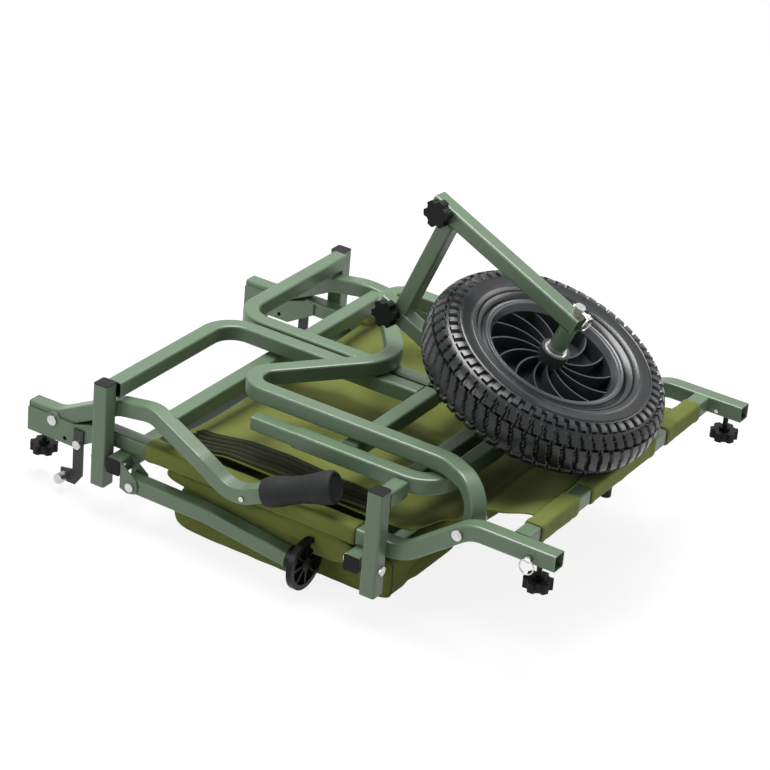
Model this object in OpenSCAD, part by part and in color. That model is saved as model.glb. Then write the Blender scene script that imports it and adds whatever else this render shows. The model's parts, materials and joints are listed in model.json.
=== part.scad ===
// Folded fishing trolley: a tube frame with two side gates, a folding front rack,
// a lift-off wheel unit and a soft bag under the bed.
// X runs from the handle end to the open front ends, Y across, Z up from the floor under the bag.

/* [Tubes] */
// Side of the square tube that the trolley is bent and welded from
tube = 25; // [22:0.5:28]
// Wall of the square tube
tube_wall = 1.5; // [1:0.1:2.5]
// Rounding of the tube's corners
tube_round = 3; // [1.5:0.5:4]
// Centre-line radius of the bends in the frame tubes
bend_r = 60; // [50:1:70]

/* [Bed frame] */
// Length of the side rails behind the ramp, from their rear ends to the foot of the ramp
rail_len = 540; // [520:1:560]
// Length of the level front part of each side rail, from the top of the ramp to its open end
nose_len = 134.5; // [125:0.5:150]
// Width over the two side rails
frame_w = 581; // [540:1:620]
// Height of the side rails' underside above the floor
rail_z = 97; // [92:1:104]
// Height that the side rails gain over the ramp
rail_rise = 77.5; // [60:0.5:90]
// Slope of the ramp
ramp_angle = 37; // [30:1:42]
// Distance from the open front ends back to the front cross tube's front face
front_tube_back = 53.5; // [50:0.5:60]

/* [Side gates] */
// Length of the gate posts
post_len = 166; // [160:1:180]
// Length of each post below its pivot
post_foot = 42; // [38:0.5:46]
// Clear gap between a side rail and the posts beside it
post_gap = 4.5; // [3:0.5:8]
// Distance between the rear and the front posts, centre to centre
post_pitch = 474; // [460:1:490]
// Distance from the side rails' rear ends to the rear posts' centres
rear_post_x = 34; // [30:0.5:40]
// Gap between a post and the lower cross tube beside it
pivot_washer = 3.5; // [2:0.5:5]
// Gap between the two gates along the centre line
gate_gap = 8; // [4:1:16]
// Radius of the bends in the gates
gate_bend = 45; // [40:1:55]
// Distance from the rear posts' centres to the gates' rear cross bars
cross_bar_x = 369; // [355:1:380]
// Distance from the front posts' centres to the gates' front runs
front_run_x = 47; // [42:1:55]
// Height of the front cross bars' underside below the gates' underside
bar_drop = 7; // [7:0.5:12]
// Length of each gate's outer arm, from its open rear end to the front run's centre
arm_len = 231; // [220:1:240]
// Distance of the outer arm's outer face from the post's inner face
arm_inset = 43; // [40:1:46]
// Gap between each sliding tube and the arm that it slides in
slide_gap = 0.1; // [0.05:0.01:0.1]
// Length of the sliding tube that stands out of the arm
slide_out = 73; // [50:1:90]
// Length of the sliding tube that stays in the arm
slide_in = 100; // [80:1:140]

/* [Front rack] */
// Width over the rack's two arms
rack_w = 438; // [420:1:450]
// Distance from the rack's pivots back to the far side of its rear bends
rack_reach = 429; // [415:1:435]
// Distance from the rack's pivots back to the middle bend's corner
rack_middle = 289; // [280:1:300]
// Height of the rack's underside above the gates
rack_gap = 4; // [3.5:0.5:6]
// Radius of the rack's pivot bolts
rack_bolt_r = 4; // [3:0.5:5]

/* [Handles] */
// Distance from the side rails' rear ends back to the handle tubes' rear ends
handle_back = 117.5; // [110:0.5:125]
// Distance from the handle tubes' rear ends to their pivots
handle_pivot_x = 47.5; // [40:0.5:50]
// Height of the handle tubes' underside above the side rails' underside
handle_lift = -3; // [-5:0.5:0]
// Height of the hump above the rear part of the handle tube
hump_rise = 65.5; // [62:0.5:67]
// Distance that the handle tubes swing out past the rails
handle_out = 28.5; // [28:0.5:32]
// Wall of the handle sockets' side plates
plate = 3; // [2:0.5:4]
// Radius of the grips at the waist
grip_r = 17; // [16.5:0.25:18]
// Radius of the grips at the free end
grip_end_r = 18.5; // [17.5:0.25:18.75]
// Length of the grips
grip_len = 114; // [100:1:116]

/* [Legs] */
// Distance from the rear lower cross tube's face to the legs' pivots
leg_pivot_x = 19.5; // [19:0.5:24]
// Depth of the legs' pivots below the side rails' underside
leg_drop = 35; // [34:0.5:38]
// Distance of the legs' middles outside the side rails' middles
leg_out = 25.5; // [25.5:0.25:27]
// Length of the level part of each leg
leg_len = 131; // [120:1:150]
// Length along the trolley of the sloping part of each leg
leg_fall_len = 161; // [140:1:170]
// Height that the sloping part loses
leg_fall = 20; // [12:1:22]
// Radius of the mud feet
foot_r = 39.5; // [30:0.5:40]
// Thickness of the mud feet's rims
foot_t = 9; // [6:0.5:12]

/* [Wheel unit] */
// Outer radius of the tyre
tyre_r = 184; // [176:1:184]
// Width of the tyre
tyre_w = 92; // [84:1:92]
// Radius of the rim's lip
rim_r = 110; // [104:1:112]
// Width over the rim's two lips
rim_w = 72; // [60:1:80]
// Number of curved spokes on each face of the rim
spokes = 14; // [8:1:18]
// Clear width between the fork's arms
fork_w = 172; // [150:1:172]
// Distance from the axle to the crown tube's centre
crown_back = 237; // [230:1:250]
// Length of each arm beyond the crown tube's centre
arm_over = 35; // [32:1:40]
// Length of each arm beyond the axle
arm_nose = 12.5; // [12:0.5:14]
// Radius of the axle
axle_r = 8; // [6:0.5:9]
// Radius of the spacer sleeves on the axle
spacer_r = 13; // [11.5:0.5:16]
// Radius of the hub
hub_r = 22; // [19:0.5:26]
// Length of the hub
hub_len = 84; // [70:1:96]
// Place of the wheel's centre along the trolley, from the front ends back
wheel_back = 198.5; // [190:0.5:206]
// Height of the wheel's centre above the side rails' underside
wheel_up = 201; // [198:0.5:212]
// Tilt of the wheel unit as it lies
wheel_tilt = 21.5; // [20:0.5:23]
// Turn of the wheel unit about its own axle as it lies
wheel_yaw = 5.5; // [4:0.5:7]

/* [Bag and bed] */
// Gap between the bag and the mud feet
bag_foot_gap = 2; // [2:0.5:20]
// Gap between the bag's rear part and the legs
bag_leg_gap = 3.5; // [3:0.5:15]
// Length of the bag
bag_len = 356; // [340:1:360]
// Distance from the side rails' rear ends to the bag's rear side
bag_back = 154; // [140:1:165]
// Thickness of the sleeve cloth round the tubes
cloth = 2; // [1.5:0.1:2.5]
// Length of the side sleeves
sleeve_len = 366; // [340:1:366]
// Distance from the side rails' rear ends to the side sleeves
sleeve_back = 99; // [95:1:100]

/* [Knobs and pins] */
// Radius of the star knobs over their points
knob_r = 21; // [16:0.5:22]
// Thickness of the star knobs
knob_t = 14; // [10:0.5:18]
// Radius of the star knobs' screws
screw_r = 4; // [3:0.5:5]
// Running clearance of bolts, pins and shafts in their holes
run_gap = 0.1; // [0.05:0.01:0.1]
// Radius of the ring pins' shafts
pin_r = 3; // [2.5:0.25:4]
// Radius of the rings on the ring pins
ring_r = 11; // [9:0.5:13]

/* [Hidden] */
$fn = 48;
spin_fn = 96;
bend_fn = 64;
green = [0.36, 0.45, 0.38];
olive = [0.42, 0.45, 0.22];
black = [0.1, 0.1, 0.11];
zinc = [0.78, 0.79, 0.8];
charcoal = [0.2, 0.2, 0.22];
half = tube / 2;
slide_tube = tube - 2 * tube_wall - 2 * slide_gap;

// Places along the trolley
ramp_run = rail_rise / tan(ramp_angle);
front_x = (handle_back + rail_len + ramp_run + nose_len) / 2;
rail_x = -front_x + handle_back;
ramp_x = rail_x + rail_len;
nose_x = ramp_x + ramp_run;
handle_x = -front_x;
post_x = rail_x + rear_post_x;
post_front_x = post_x + post_pitch;
lower_offset = tube + pivot_washer;
front_tube_x = front_x - front_tube_back - half;
// Places across the trolley
rail_y = (frame_w - tube) / 2;
post_y = frame_w / 2 + post_gap + half;
// Heights
rail_zc = rail_z + half;
nose_zc = rail_zc + rail_rise;
pivot_z = rail_z - half;
post_top = pivot_z - post_foot + post_len;
gate_z = post_top - half;

module at_near() { children(); }
module at_far() { mirror([0, 1, 0]) children(); }

// Rounded square, solid or with its wall only
function corner_points(size, r, steps = 2) =
    [for (q = [0:3]) for (k = [0:steps])
        let (a = 90 * q + 90 * k / steps, c = size / 2 - r)
        [c * (q == 0 || q == 3 ? 1 : -1) + r * cos(a), c * (q < 2 ? 1 : -1) + r * sin(a)]];
module section(size = tube, wall = 0) {
    difference() {
        polygon(corner_points(size, tube_round));
        if (wall > 0) square(size - 2 * wall, center = true);
    }
}

// A tube through points, with a bend of its own radius at each inner point. The section's
// upright side is carried round each bend, so that a tube may turn in more than one plane.
function unit(v) = v / norm(v);
function course(p, i) = unit(p[i + 1] - p[i]);
function swung(v, n, a) = v * cos(a) + cross(n, v) * sin(a) + n * (n * v) * (1 - cos(a));
function bend(p, i) = acos(max(-1, min(1, course(p, i - 1) * course(p, i))));
function hinge_of(p, i) = unit(cross(course(p, i - 1), course(p, i)));
function trim(p, r, i) = i == 0 || i == len(p) - 1 ? 0 : r[i - 1] * tan(bend(p, i) / 2);
function upright(p, i) =
    i == 0 ? let (d = course(p, 0)) unit([0, 0, 1] - d * d.z) : swung(upright(p, i - 1), hinge_of(p, i), bend(p, i));
function snapped(a) = abs(a - 90 * round(a / 90)) < 0.000001 ? 90 * round(a / 90) : a;
function placed(x, y, z, o) = [[x.x, y.x, z.x, o.x], [x.y, y.y, z.y, o.y], [x.z, y.z, z.z, o.z], [0, 0, 0, 1]];
module tube_path(p, r, size = tube, wall = tube_wall) {
    for (i = [0:len(p) - 2]) {
        d = course(p, i);
        u = upright(p, i);
        start = trim(p, r, i);
        multmatrix(placed(cross(u, d), u, d, p[i] + start * d))
            linear_extrude(norm(p[i + 1] - p[i]) - start - trim(p, r, i + 1)) section(size, wall);
    }
    for (i = [1:1:len(p) - 2]) {
        d = course(p, i - 1);
        n = hinge_of(p, i);
        out = cross(d, n);
        u = upright(p, i - 1);
        multmatrix(placed(out, d, n, p[i] - trim(p, r, i) * d - r[i - 1] * out))
            rotate_extrude(angle = bend(p, i), $fn = bend_fn) translate([r[i - 1], 0])
                rotate(snapped(atan2(-(u * out), u * n))) section(size, wall);
    }
}
// The same tube as one closed skin of flat facets, for bends that turn in more than one plane
function mouth_points(size, wall) =
    [for (c = [[1, 1], [-1, 1], [-1, -1], [1, -1]]) (size / 2 - wall) * c];
function ring(o, d, u, points) = [for (q = points) o + q.x * cross(u, d) + q.y * u];
function bend_rings(p, r, i, points) =
    let (d = course(p, i - 1), n = hinge_of(p, i), u = upright(p, i - 1), out = cross(d, n),
        a = bend(p, i), steps = max(2, ceil(a * bend_fn / 360)),
        c = p[i] - trim(p, r, i) * d - r[i - 1] * out)
    [for (k = [0:steps]) let (b = a * k / steps)
        ring(c + r[i - 1] * swung(out, n, b), swung(d, n, b), swung(u, n, b), points)];
function path_rings(p, r, points) =
    let (e = len(p) - 1) concat([ring(p[0], course(p, 0), upright(p, 0), points)],
        [for (i = [1:1:e - 1]) each bend_rings(p, r, i, points)],
        [ring(p[e], course(p, e - 1), upright(p, e - 1), points)]);
function flat(rings) = [for (v = rings) each v];
function skin(rows, n, start, turn) = [for (k = [0:rows - 2], j = [0:n - 1])
    let (a = start + k * n + j, b = start + k * n + (j + 1) % n)
    each turn ? [[a, b + n, a + n], [a, b, b + n]] : [[a, a + n, b + n], [a, b + n, b]]];
function lid(o, i) = [for (q = [0:3]) let (c = o + 3 * q, e = o + (3 * q + 3) % 12)
    each [[c, c + 1, i + q], [c + 1, c + 2, i + q], [c + 2, e, i + q], [e, i + (q + 1) % 4, i + q]]];
function turned(faces) = [for (f = faces) [f[0], f[2], f[1]]];
module tube_skin(p, r, size = tube, wall = tube_wall) {
    outside = path_rings(p, r, corner_points(size, tube_round));
    inside = path_rings(p, r, mouth_points(size, wall));
    rows = len(outside);
    polyhedron(concat(flat(outside), flat(inside)), concat(skin(rows, 12, 0, false),
        skin(rows, 4, 12 * rows, true), lid(0, 12 * rows),
        turned(lid(12 * (rows - 1), 12 * rows + 4 * (rows - 1)))));
}
module tube_x(x0, x1, y, z, size = tube, wall = tube_wall) {
    translate([x0, y, z]) rotate([90, 0, 90]) linear_extrude(x1 - x0) section(size, wall);
}
module tube_y(y0, y1, x, z, size = tube, wall = tube_wall) {
    translate([x, y1, z]) rotate([90, 0, 0]) linear_extrude(y1 - y0) section(size, wall);
}
module tube_z(z0, z1, x, y, size = tube, wall = tube_wall) {
    translate([x, y, z0]) linear_extrude(z1 - z0) section(size, wall);
}
module rod_x(x0, x1, y, z, r) { translate([x0, y, z]) rotate([0, 90, 0]) cylinder(h = x1 - x0, r = r); }
module rod_y(y0, y1, x, z, r) { translate([x, y1, z]) rotate([90, 0, 0]) cylinder(h = y1 - y0, r = r); }
module rod_z(z0, z1, x, y, r) { translate([x, y, z0]) cylinder(h = z1 - z0, r = r); }

// Side rails: level behind, a ramp, and a level open nose
rack_x = nose_x - 16;
rack_pivot_z = nose_zc - 11;
knob_front_x = front_x - 27.5;
ring_front_x = front_x - 38;
ring_front_z = nose_zc - 4;
module side_rail() {
    difference() {
        tube_skin([[rail_x, -rail_y, rail_zc], [ramp_x, -rail_y, rail_zc],
            [nose_x, -rail_y, nose_zc], [front_x, -rail_y, nose_zc]], [bend_r, bend_r]);
        rod_y(-rail_y - tube, -rail_y + tube, rack_x, rack_pivot_z, rack_bolt_r);
        rod_y(-rail_y - tube, -rail_y + tube, ring_front_x, ring_front_z, pin_r + run_gap);
        rod_z(nose_zc - tube, nose_zc, knob_front_x, -rail_y, screw_r + run_gap);
    }
}
module side_rail_near() { color(green) at_near() side_rail(); }
module side_rail_far() { color(green) at_far() side_rail(); }
stud_x = front_tube_x;
stud_y = -22;
stud_r = 2.5;
module front_cross_tube() {
    color(green) difference() {
        tube_y(-rail_y + half, rail_y - half, front_tube_x, nose_zc);
        rod_z(nose_zc - tube, nose_zc, stud_x, stud_y, stud_r);
    }
}

// Lower cross tubes, which the gates turn on
lower_rear_x = post_x + lower_offset;
lower_front_x = post_front_x - lower_offset;
gate_bolt_r = 4;
cap_t = 3;
cap_head = 1.2;
lower_end = post_y + half - cap_head;
module lower_tube(x) {
    difference() {
        tube_y(-lower_end, lower_end, x, pivot_z);
        for (s = [-1, 1]) rod_x(x - tube, x + tube, s * post_y, pivot_z, gate_bolt_r);
    }
}
module lower_tube_rear() { color(green) lower_tube(lower_rear_x); }
module lower_tube_front() { color(green) lower_tube(lower_front_x); }
// A plastic plug: a thin head and a body that fills the tube's mouth
module plug(size = tube, wall = tube_wall, depth = 5) {
    linear_extrude(cap_head) section(size);
    translate([0, 0, -depth]) linear_extrude(depth) square(size - 2 * wall, center = true);
}
module lower_tube_caps() {
    color(black) for (x = [lower_rear_x, lower_front_x], s = [-1, 1])
        translate([x, s * lower_end, pivot_z]) rotate([-90 * s, 0, 0]) plug();
}

// Handle sockets: two plates and a floor under each handle tube, welded to the rail's rear end
handle_zc = rail_z + handle_lift + half;
handle_px = handle_x + handle_pivot_x;
handle_pz = handle_zc - 2.5;
handle_bolt_r = 4;
socket_z = handle_zc - half - 22;
socket_end = rail_x + 18;
ear_r = 13;
knob_rear_x = handle_x + 20;
module socket_plate() {
    difference() {
        union() {
            rotate([90, 0, 0]) linear_extrude(plate) polygon([
                [handle_x, socket_z], [rail_x - 30, socket_z], [socket_end, rail_z + 3],
                [socket_end, rail_z + tube - 3], [rail_x - 2, rail_z + tube - 3],
                [rail_x - 30, handle_pz + 6], [handle_x, handle_pz + 6]]);
            rod_y(-plate, 0, handle_px, handle_pz, ear_r);
        }
        rod_y(-2 * plate, plate, handle_px, handle_pz, handle_bolt_r);
        rod_y(-2 * plate, plate, rail_x - 47.5, socket_z + 9, 3.5);
    }
}
module handle_socket() {
    difference() {
        union() {
            translate([0, -rail_y - half, 0]) socket_plate();
            translate([0, -rail_y + half + plate, 0]) socket_plate();
            translate([handle_x, -rail_y - half, socket_z]) cube([rail_x - handle_x - 30, tube, plate]);
        }
        rod_z(socket_z - 1, socket_z + 2 * plate, knob_rear_x, -rail_y, screw_r + run_gap);
    }
}
module handle_socket_near() { color(green) at_near() handle_socket(); }
module handle_socket_far() { color(green) at_far() handle_socket(); }

// Drop brackets: a bar bolted to each socket's outer plate, with a spring plunger at its foot
drop_x = rail_x - 20;
drop_y = rail_y + half + plate;
drop_bolt_z = rail_z - 15;
plunger_x = drop_x - 22;
plunger_z = 22;
plunger_r = 3;
module drop_bracket() {
    difference() {
        translate([0, -drop_y, 0]) rotate([90, 0, 0]) linear_extrude(plate) polygon([
            [drop_x - 31, 12], [drop_x - 4, 12], [drop_x + 9, 30], [drop_x + 9, rail_z + 8],
            [drop_x - 9, rail_z + 8], [drop_x - 9, 36], [drop_x - 31, 32]]);
        rod_y(-drop_y - tube, -drop_y + tube, drop_x, drop_bolt_z, 3);
        rod_y(-drop_y - tube, -drop_y + tube, plunger_x, plunger_z, plunger_r + run_gap);
    }
}
module drop_bracket_near() { color(black) at_near() drop_bracket(); }
module drop_bracket_far() { color(black) at_far() drop_bracket(); }
module drop_bolts() {
    color(zinc) for (s = [0, 1]) mirror([0, s, 0]) {
        rod_y(-drop_y - plate, -drop_y, drop_x, drop_bolt_z, 3);
        rod_y(-drop_y - plate - 5, -drop_y - plate, drop_x, drop_bolt_z, 7);
    }
}
module plunger() {
    rod_y(-drop_y - plate - 0.2, -drop_y + 6, plunger_x, plunger_z, plunger_r);
    rod_y(-drop_y - plate - 18, -drop_y - plate - 0.2, plunger_x, plunger_z, 8);
}
module plunger_near() { color(zinc) at_near() plunger(); }
module plunger_far() { color(zinc) at_far() plunger(); }

// Side gates: two posts, a hoop from the rear post to the centre line, and a front frame
gate_in = gate_gap / 2 + half;
cross_x = post_x + cross_bar_x;
front_run = post_front_x + front_run_x;
arm_y = post_y - half - arm_inset - half;
arm_x = front_run - arm_len;
bar_x = post_front_x;
run_end = 20;
hoop_x = post_x + 7;
module gate_post(x) {
    difference() {
        tube_z(pivot_z - post_foot, post_top - cap_head, x, -post_y);
        rod_x(x - tube, x + tube, -post_y, pivot_z, gate_bolt_r + run_gap);
    }
}
module gate() {
    gate_post(post_x);
    gate_post(post_front_x);
    tube_path([[hoop_x, -post_y + half, gate_z], [hoop_x, -gate_in, gate_z],
        [cross_x - half, -gate_in, gate_z]], [gate_bend]);
    tube_path([[arm_x, -arm_y, gate_z], [front_run, -arm_y, gate_z], [front_run, -run_end, gate_z]],
        [gate_bend]);
    tube_y(-arm_y + half, -gate_gap / 2, cross_x, gate_z);
    tube_y(-arm_y + half, -gate_gap / 2, bar_x, gate_z - bar_drop);
    tube_y(-post_y + half, -arm_y - half, bar_x, gate_z - bar_drop);
}
module gate_near() { color(green) at_near() gate(); }
module gate_far() { color(green) at_far() gate(); }
module gate_caps() {
    for (x = [post_x, post_front_x])
        translate([x, -post_y, post_top - cap_head]) plug();
    translate([front_run, -run_end, gate_z]) rotate([-90, 0, 0]) plug();
}
module gate_caps_near() { color(black) at_near() gate_caps(); }
module gate_caps_far() { color(black) at_far() gate_caps(); }
head_h = 4;
head_r = 7;
module gate_bolt(post, dir) {
    out = post - dir * (half + 0.2);
    far = post + dir * (lower_offset + half + 0.2);
    rod_x(min(out, far), max(out, far), 0, 0, gate_bolt_r);
    rod_x(min(out, out - dir * head_h), max(out, out - dir * head_h), 0, 0, head_r);
    rod_x(min(far, far + dir * head_h), max(far, far + dir * head_h), 0, 0, head_r);
}
module gate_bolts() {
    color(zinc) for (s = [-1, 1]) translate([0, s * post_y, pivot_z]) {
        gate_bolt(post_x, 1);
        gate_bolt(post_front_x, -1);
    }
}
// Sliding tube in the mouth of each outer arm, with its plug
module slide_bar() {
    tube_x(arm_x - slide_out + cap_head, arm_x + slide_in, -arm_y, gate_z, slide_tube);
    translate([arm_x - slide_out + cap_head, -arm_y, gate_z]) rotate([0, -90, 0]) plug(slide_tube);
}
module slide_tube_near() { color(green) at_near() slide_bar(); }
module slide_tube_far() { color(green) at_far() slide_bar(); }

// Front rack: one tube, level over the gates, that bends out and down to a foot inside each rail
rack_z = post_top + rack_gap + half;
rack_y = rack_w / 2 - half;
rack_back = rack_x - rack_reach + half;
rack_foot_y = rail_y - 29;
rack_split = rack_x - 236;
rack_hip = [rack_x - 2.5, -rack_foot_y + 8, rack_z];
rack_foot = [rack_x, -rack_foot_y, rack_pivot_z - 18];
module rack_line(x) {
    tube_skin([[x, -rack_y, rack_z], [rack_back, -rack_y, rack_z], [rack_back, -rack_y + 46, rack_z],
        [rack_x - rack_middle, 0, rack_z], [rack_back, rack_y - 46, rack_z], [rack_back, rack_y, rack_z],
        [x, rack_y, rack_z]], [30, 24, 62, 24, 30]);
}
module rack_hoop() { color(green) rack_line(rack_split); }
module rack_leg() {
    difference() {
        tube_skin([[rack_split, -rack_y, rack_z], [rack_x - 72, -rack_y, rack_z], rack_hip, rack_foot],
            [60, 42]);
        rod_y(-rail_y, -rail_y + 3 * tube, rack_x, rack_pivot_z, rack_bolt_r + run_gap);
    }
}
module rack_legs() {
    color(green) {
        at_near() rack_leg();
        at_far() rack_leg();
    }
}
rack_nut_y = rack_foot_y - 20;
module rack_bolts() {
    color(zinc) for (s = [0, 1]) mirror([0, s, 0]) {
        rod_y(-rail_y - half - 0.1, -rack_nut_y, rack_x, rack_pivot_z, rack_bolt_r);
        rod_y(-rail_y - half - 0.1 - head_h, -rail_y - half - 0.1, rack_x, rack_pivot_z, head_r + 1);
        rod_y(-rack_nut_y, -rack_nut_y + head_h, rack_x, rack_pivot_z, head_r);
    }
}

// Handles: a stub in the socket, a hump over the rail, then out and down, and up into the grip
hump_x = handle_x + 222.5;
low_x = handle_x + 389.5;
grip_at = [low_x + 42, -rail_y - 33, handle_zc + 25.5];
grip_to = [low_x + 156, -rail_y - 12, handle_zc + 69];
grip_way = unit(grip_to - grip_at);
grip_hold = 40;
handle_line = [[handle_x + cap_head, -rail_y, handle_zc], [handle_x + 52.5, -rail_y, handle_zc],
    [hump_x - 62, -rail_y, handle_zc + hump_rise - 10], [hump_x, -rail_y, handle_zc + hump_rise],
    [handle_x + 327.5, -rail_y - handle_out, handle_zc + 39.5],
    [low_x, -rail_y - handle_out, handle_zc + 2.5], grip_at, grip_at + grip_hold * grip_way];
handle_bends = [60, 60, 60, 70, 60, 60];
module handle_tube() { tube_skin(handle_line, handle_bends); }
button_x = low_x + 20;
button_z = handle_zc + 12;
module handle() {
    difference() {
        handle_tube();
        rod_y(-rail_y - tube, -rail_y + tube, handle_px, handle_pz, handle_bolt_r + run_gap);
        rod_y(-rail_y - 2 * tube, -rail_y - handle_out, button_x, button_z, 4 + run_gap);
    }
}
module handle_near() { color(green) at_near() handle(); }
module handle_far() { color(green) at_far() handle(); }
bar_x1 = handle_x + 249;
bar_z = handle_zc + 58.5;
module handle_cross_bar() {
    color(green) difference() {
        tube_y(-rail_y, rail_y, bar_x1, bar_z);
        for (s = [0, 1]) mirror([0, s, 0]) tube_path(handle_line, handle_bends, tube, 0);
    }
}
module handle_caps() {
    color(black) for (s = [0, 1]) mirror([0, s, 0])
        translate([handle_x + cap_head, -rail_y, handle_zc]) rotate([0, -90, 0]) plug();
}
module handle_bolts() {
    color(zinc) for (s = [0, 1]) mirror([0, s, 0]) {
        rod_y(-rail_y - half - plate, -rail_y + half + plate, handle_px, handle_pz, handle_bolt_r);
        for (e = [-1, 1]) translate([0, -rail_y + e * (half + plate + head_h / 2), 0])
            rod_y(-head_h / 2, head_h / 2, handle_px, handle_pz, head_r + 1);
    }
}
grip_up = upright(handle_line, len(handle_line) - 2);
// Grips: round rubber, with a flange at the start and a thicker free end
module grip() {
    difference() {
        multmatrix(placed(cross(grip_up, grip_way), grip_up, grip_way, grip_at + 9 * grip_way))
            rotate_extrude() polygon([[0, 0], [grip_r + 1, 0], [grip_r + 2, 3], [grip_r + 2, 8],
                [grip_r, 14], [grip_r, grip_len * 0.5], [grip_end_r - 0.5, grip_len - 24],
                [grip_end_r, grip_len - 8], [grip_end_r - 2, grip_len - 2], [0, grip_len]]);
        multmatrix(placed(cross(grip_up, grip_way), grip_up, grip_way, grip_at))
            linear_extrude(grip_hold) section();
    }
}
module grip_near() { color(charcoal) at_near() grip(); }
module grip_far() { color(charcoal) at_far() grip(); }
module button() {
    rod_y(-rail_y - handle_out - half - 5, -rail_y - handle_out - 4, button_x, button_z, 4);
}
module button_near() { color(zinc) at_near() button(); }
module button_far() { color(zinc) at_far() button(); }

// Legs and mud feet, between two plates on the rear lower cross tube
leg_px = lower_rear_x + half + leg_pivot_x;
leg_z = rail_z - leg_drop;
leg_y = rail_y + leg_out;
leg_bolt_r = 4;
leg_plate = 2.2;
leg_slot = tube + 0.5;
module leg_hanger() {
    difference() {
        for (y = [-leg_y - leg_slot / 2, -leg_y + leg_slot / 2 + leg_plate]) translate([0, y, 0])
            rotate([90, 0, 0]) linear_extrude(leg_plate) polygon([
                [lower_rear_x + half, rail_z - 24.5], [lower_rear_x + half, leg_z - 8],
                [leg_px - 6, leg_z - 13], [leg_px + 8, leg_z - 10], [leg_px + 12, leg_z],
                [leg_px + 10, leg_z + 12], [lower_rear_x + half, rail_z - 1]]);
        rod_y(-leg_y - tube, -leg_y + tube, leg_px, leg_z, leg_bolt_r);
    }
}
module leg_hanger_near() { color(green) at_near() leg_hanger(); }
module leg_hanger_far() { color(green) at_far() leg_hanger(); }
leg_w = tube - 1;
leg_end_x = leg_px + leg_len + leg_fall_len;
leg_end_z = leg_z - leg_fall;
module leg_tube(wall = tube_wall) {
    tube_path([[leg_px - 12, -leg_y, leg_z], [leg_px + leg_len, -leg_y, leg_z - 1],
        [leg_end_x, -leg_y, leg_end_z]], [bend_r], leg_w, wall);
}
module leg() {
    difference() {
        leg_tube();
        rod_y(-leg_y - tube, -leg_y + tube, leg_px, leg_z, leg_bolt_r + run_gap);
    }
}
module leg_near() { color(green) at_near() leg(); }
module leg_far() { color(green) at_far() leg(); }
foot_arm = 16;
module mud_foot() {
    difference() {
        translate([leg_end_x - foot_arm, -leg_y, leg_end_z + 2]) rotate([0, 90, 0]) {
            cylinder(h = foot_arm + 4, r = 19.5);
            translate([0, 0, foot_arm + 2]) difference() {
                cylinder(h = foot_t, r = foot_r);
                translate([0, 0, 3]) cylinder(h = foot_t, r = foot_r - 8);
            }
            translate([0, 0, foot_arm + 2]) cylinder(h = foot_t, r = 10);
            for (a = [0:45:315]) rotate([0, 0, a])
                translate([8, -1.5, foot_arm + 2]) cube([foot_r - 14, 3, foot_t - 1]);
        }
        leg_tube(0);
    }
}
module mud_foot_near() { color(black) at_near() mud_foot(); }
module mud_foot_far() { color(black) at_far() mud_foot(); }
module leg_bolts() {
    color(zinc) for (s = [0, 1]) mirror([0, s, 0]) {
        out = leg_slot / 2 + leg_plate;
        rod_y(-leg_y - out, -leg_y + out, leg_px, leg_z, leg_bolt_r);
        for (e = [-1, 1]) translate([0, -leg_y + e * (out + head_h / 2), 0])
            rod_y(-head_h / 2, head_h / 2, leg_px, leg_z, head_r);
    }
}

// Wheel unit, drawn about the wheel's centre with the axle along Z and the fork towards -X
wheel_x = front_x - wheel_back;
wheel_z = rail_z + wheel_up;
module on_wheel() {
    translate([wheel_x, 0, wheel_z]) rotate([0, wheel_tilt, 0]) rotate([0, 0, -wheel_yaw]) children();
}
fork_lo = -fork_w / 2;
fork_hi = fork_w / 2;
arm_mid_lo = fork_lo - half;
arm_mid_hi = fork_hi + half;
fork_knob_x = -crown_back - 13;
module fork_frame() {
    difference() {
        union() {
            for (z = [arm_mid_lo, arm_mid_hi]) tube_x(-crown_back - arm_over, arm_nose, 0, z);
            tube_z(fork_lo, fork_hi, -crown_back, 0);
        }
        rod_z(fork_lo - 2 * tube, fork_hi + 2 * tube, 0, 0, axle_r);
        for (z = [arm_mid_lo, arm_mid_hi]) rod_y(-tube, 0, fork_knob_x, z, screw_r + run_gap);
    }
}
module fork() { color(green) on_wheel() fork_frame(); }
module axle() {
    color(zinc) on_wheel() difference() {
        rod_z(fork_lo - tube - 14, fork_hi + tube + 14, 0, 0, axle_r);
        rod_x(-20, 20, 0, fork_hi + tube + 8, pin_r + run_gap);
    }
}
nut_h = 5;
module axle_spacers() {
    color(green) on_wheel() for (e = [[fork_lo, -hub_len / 2 - nut_h], [hub_len / 2 + nut_h, fork_hi]])
        difference() {
            rod_z(e[0], e[1], 0, 0, spacer_r);
            rod_z(e[0] - 1, e[1] + 1, 0, 0, axle_r);
        }
}
module axle_nuts() {
    color(zinc) on_wheel() for (z = [-hub_len / 2 - nut_h, hub_len / 2 + 0.2]) difference() {
        rod_z(z, z + nut_h - 0.2, 0, 0, 15);
        rod_z(z - 1, z + nut_h + 1, 0, 0, axle_r);
    }
}
bearing_r = 17;
bearing_w = 11;
module hub_bearings() {
    color(zinc) on_wheel() for (z = [-hub_len / 2, hub_len / 2 - bearing_w]) difference() {
        rod_z(z, z + bearing_w, 0, 0, bearing_r);
        rod_z(z - 1, z + bearing_w + 1, 0, 0, axle_r + run_gap);
    }
}
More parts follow.
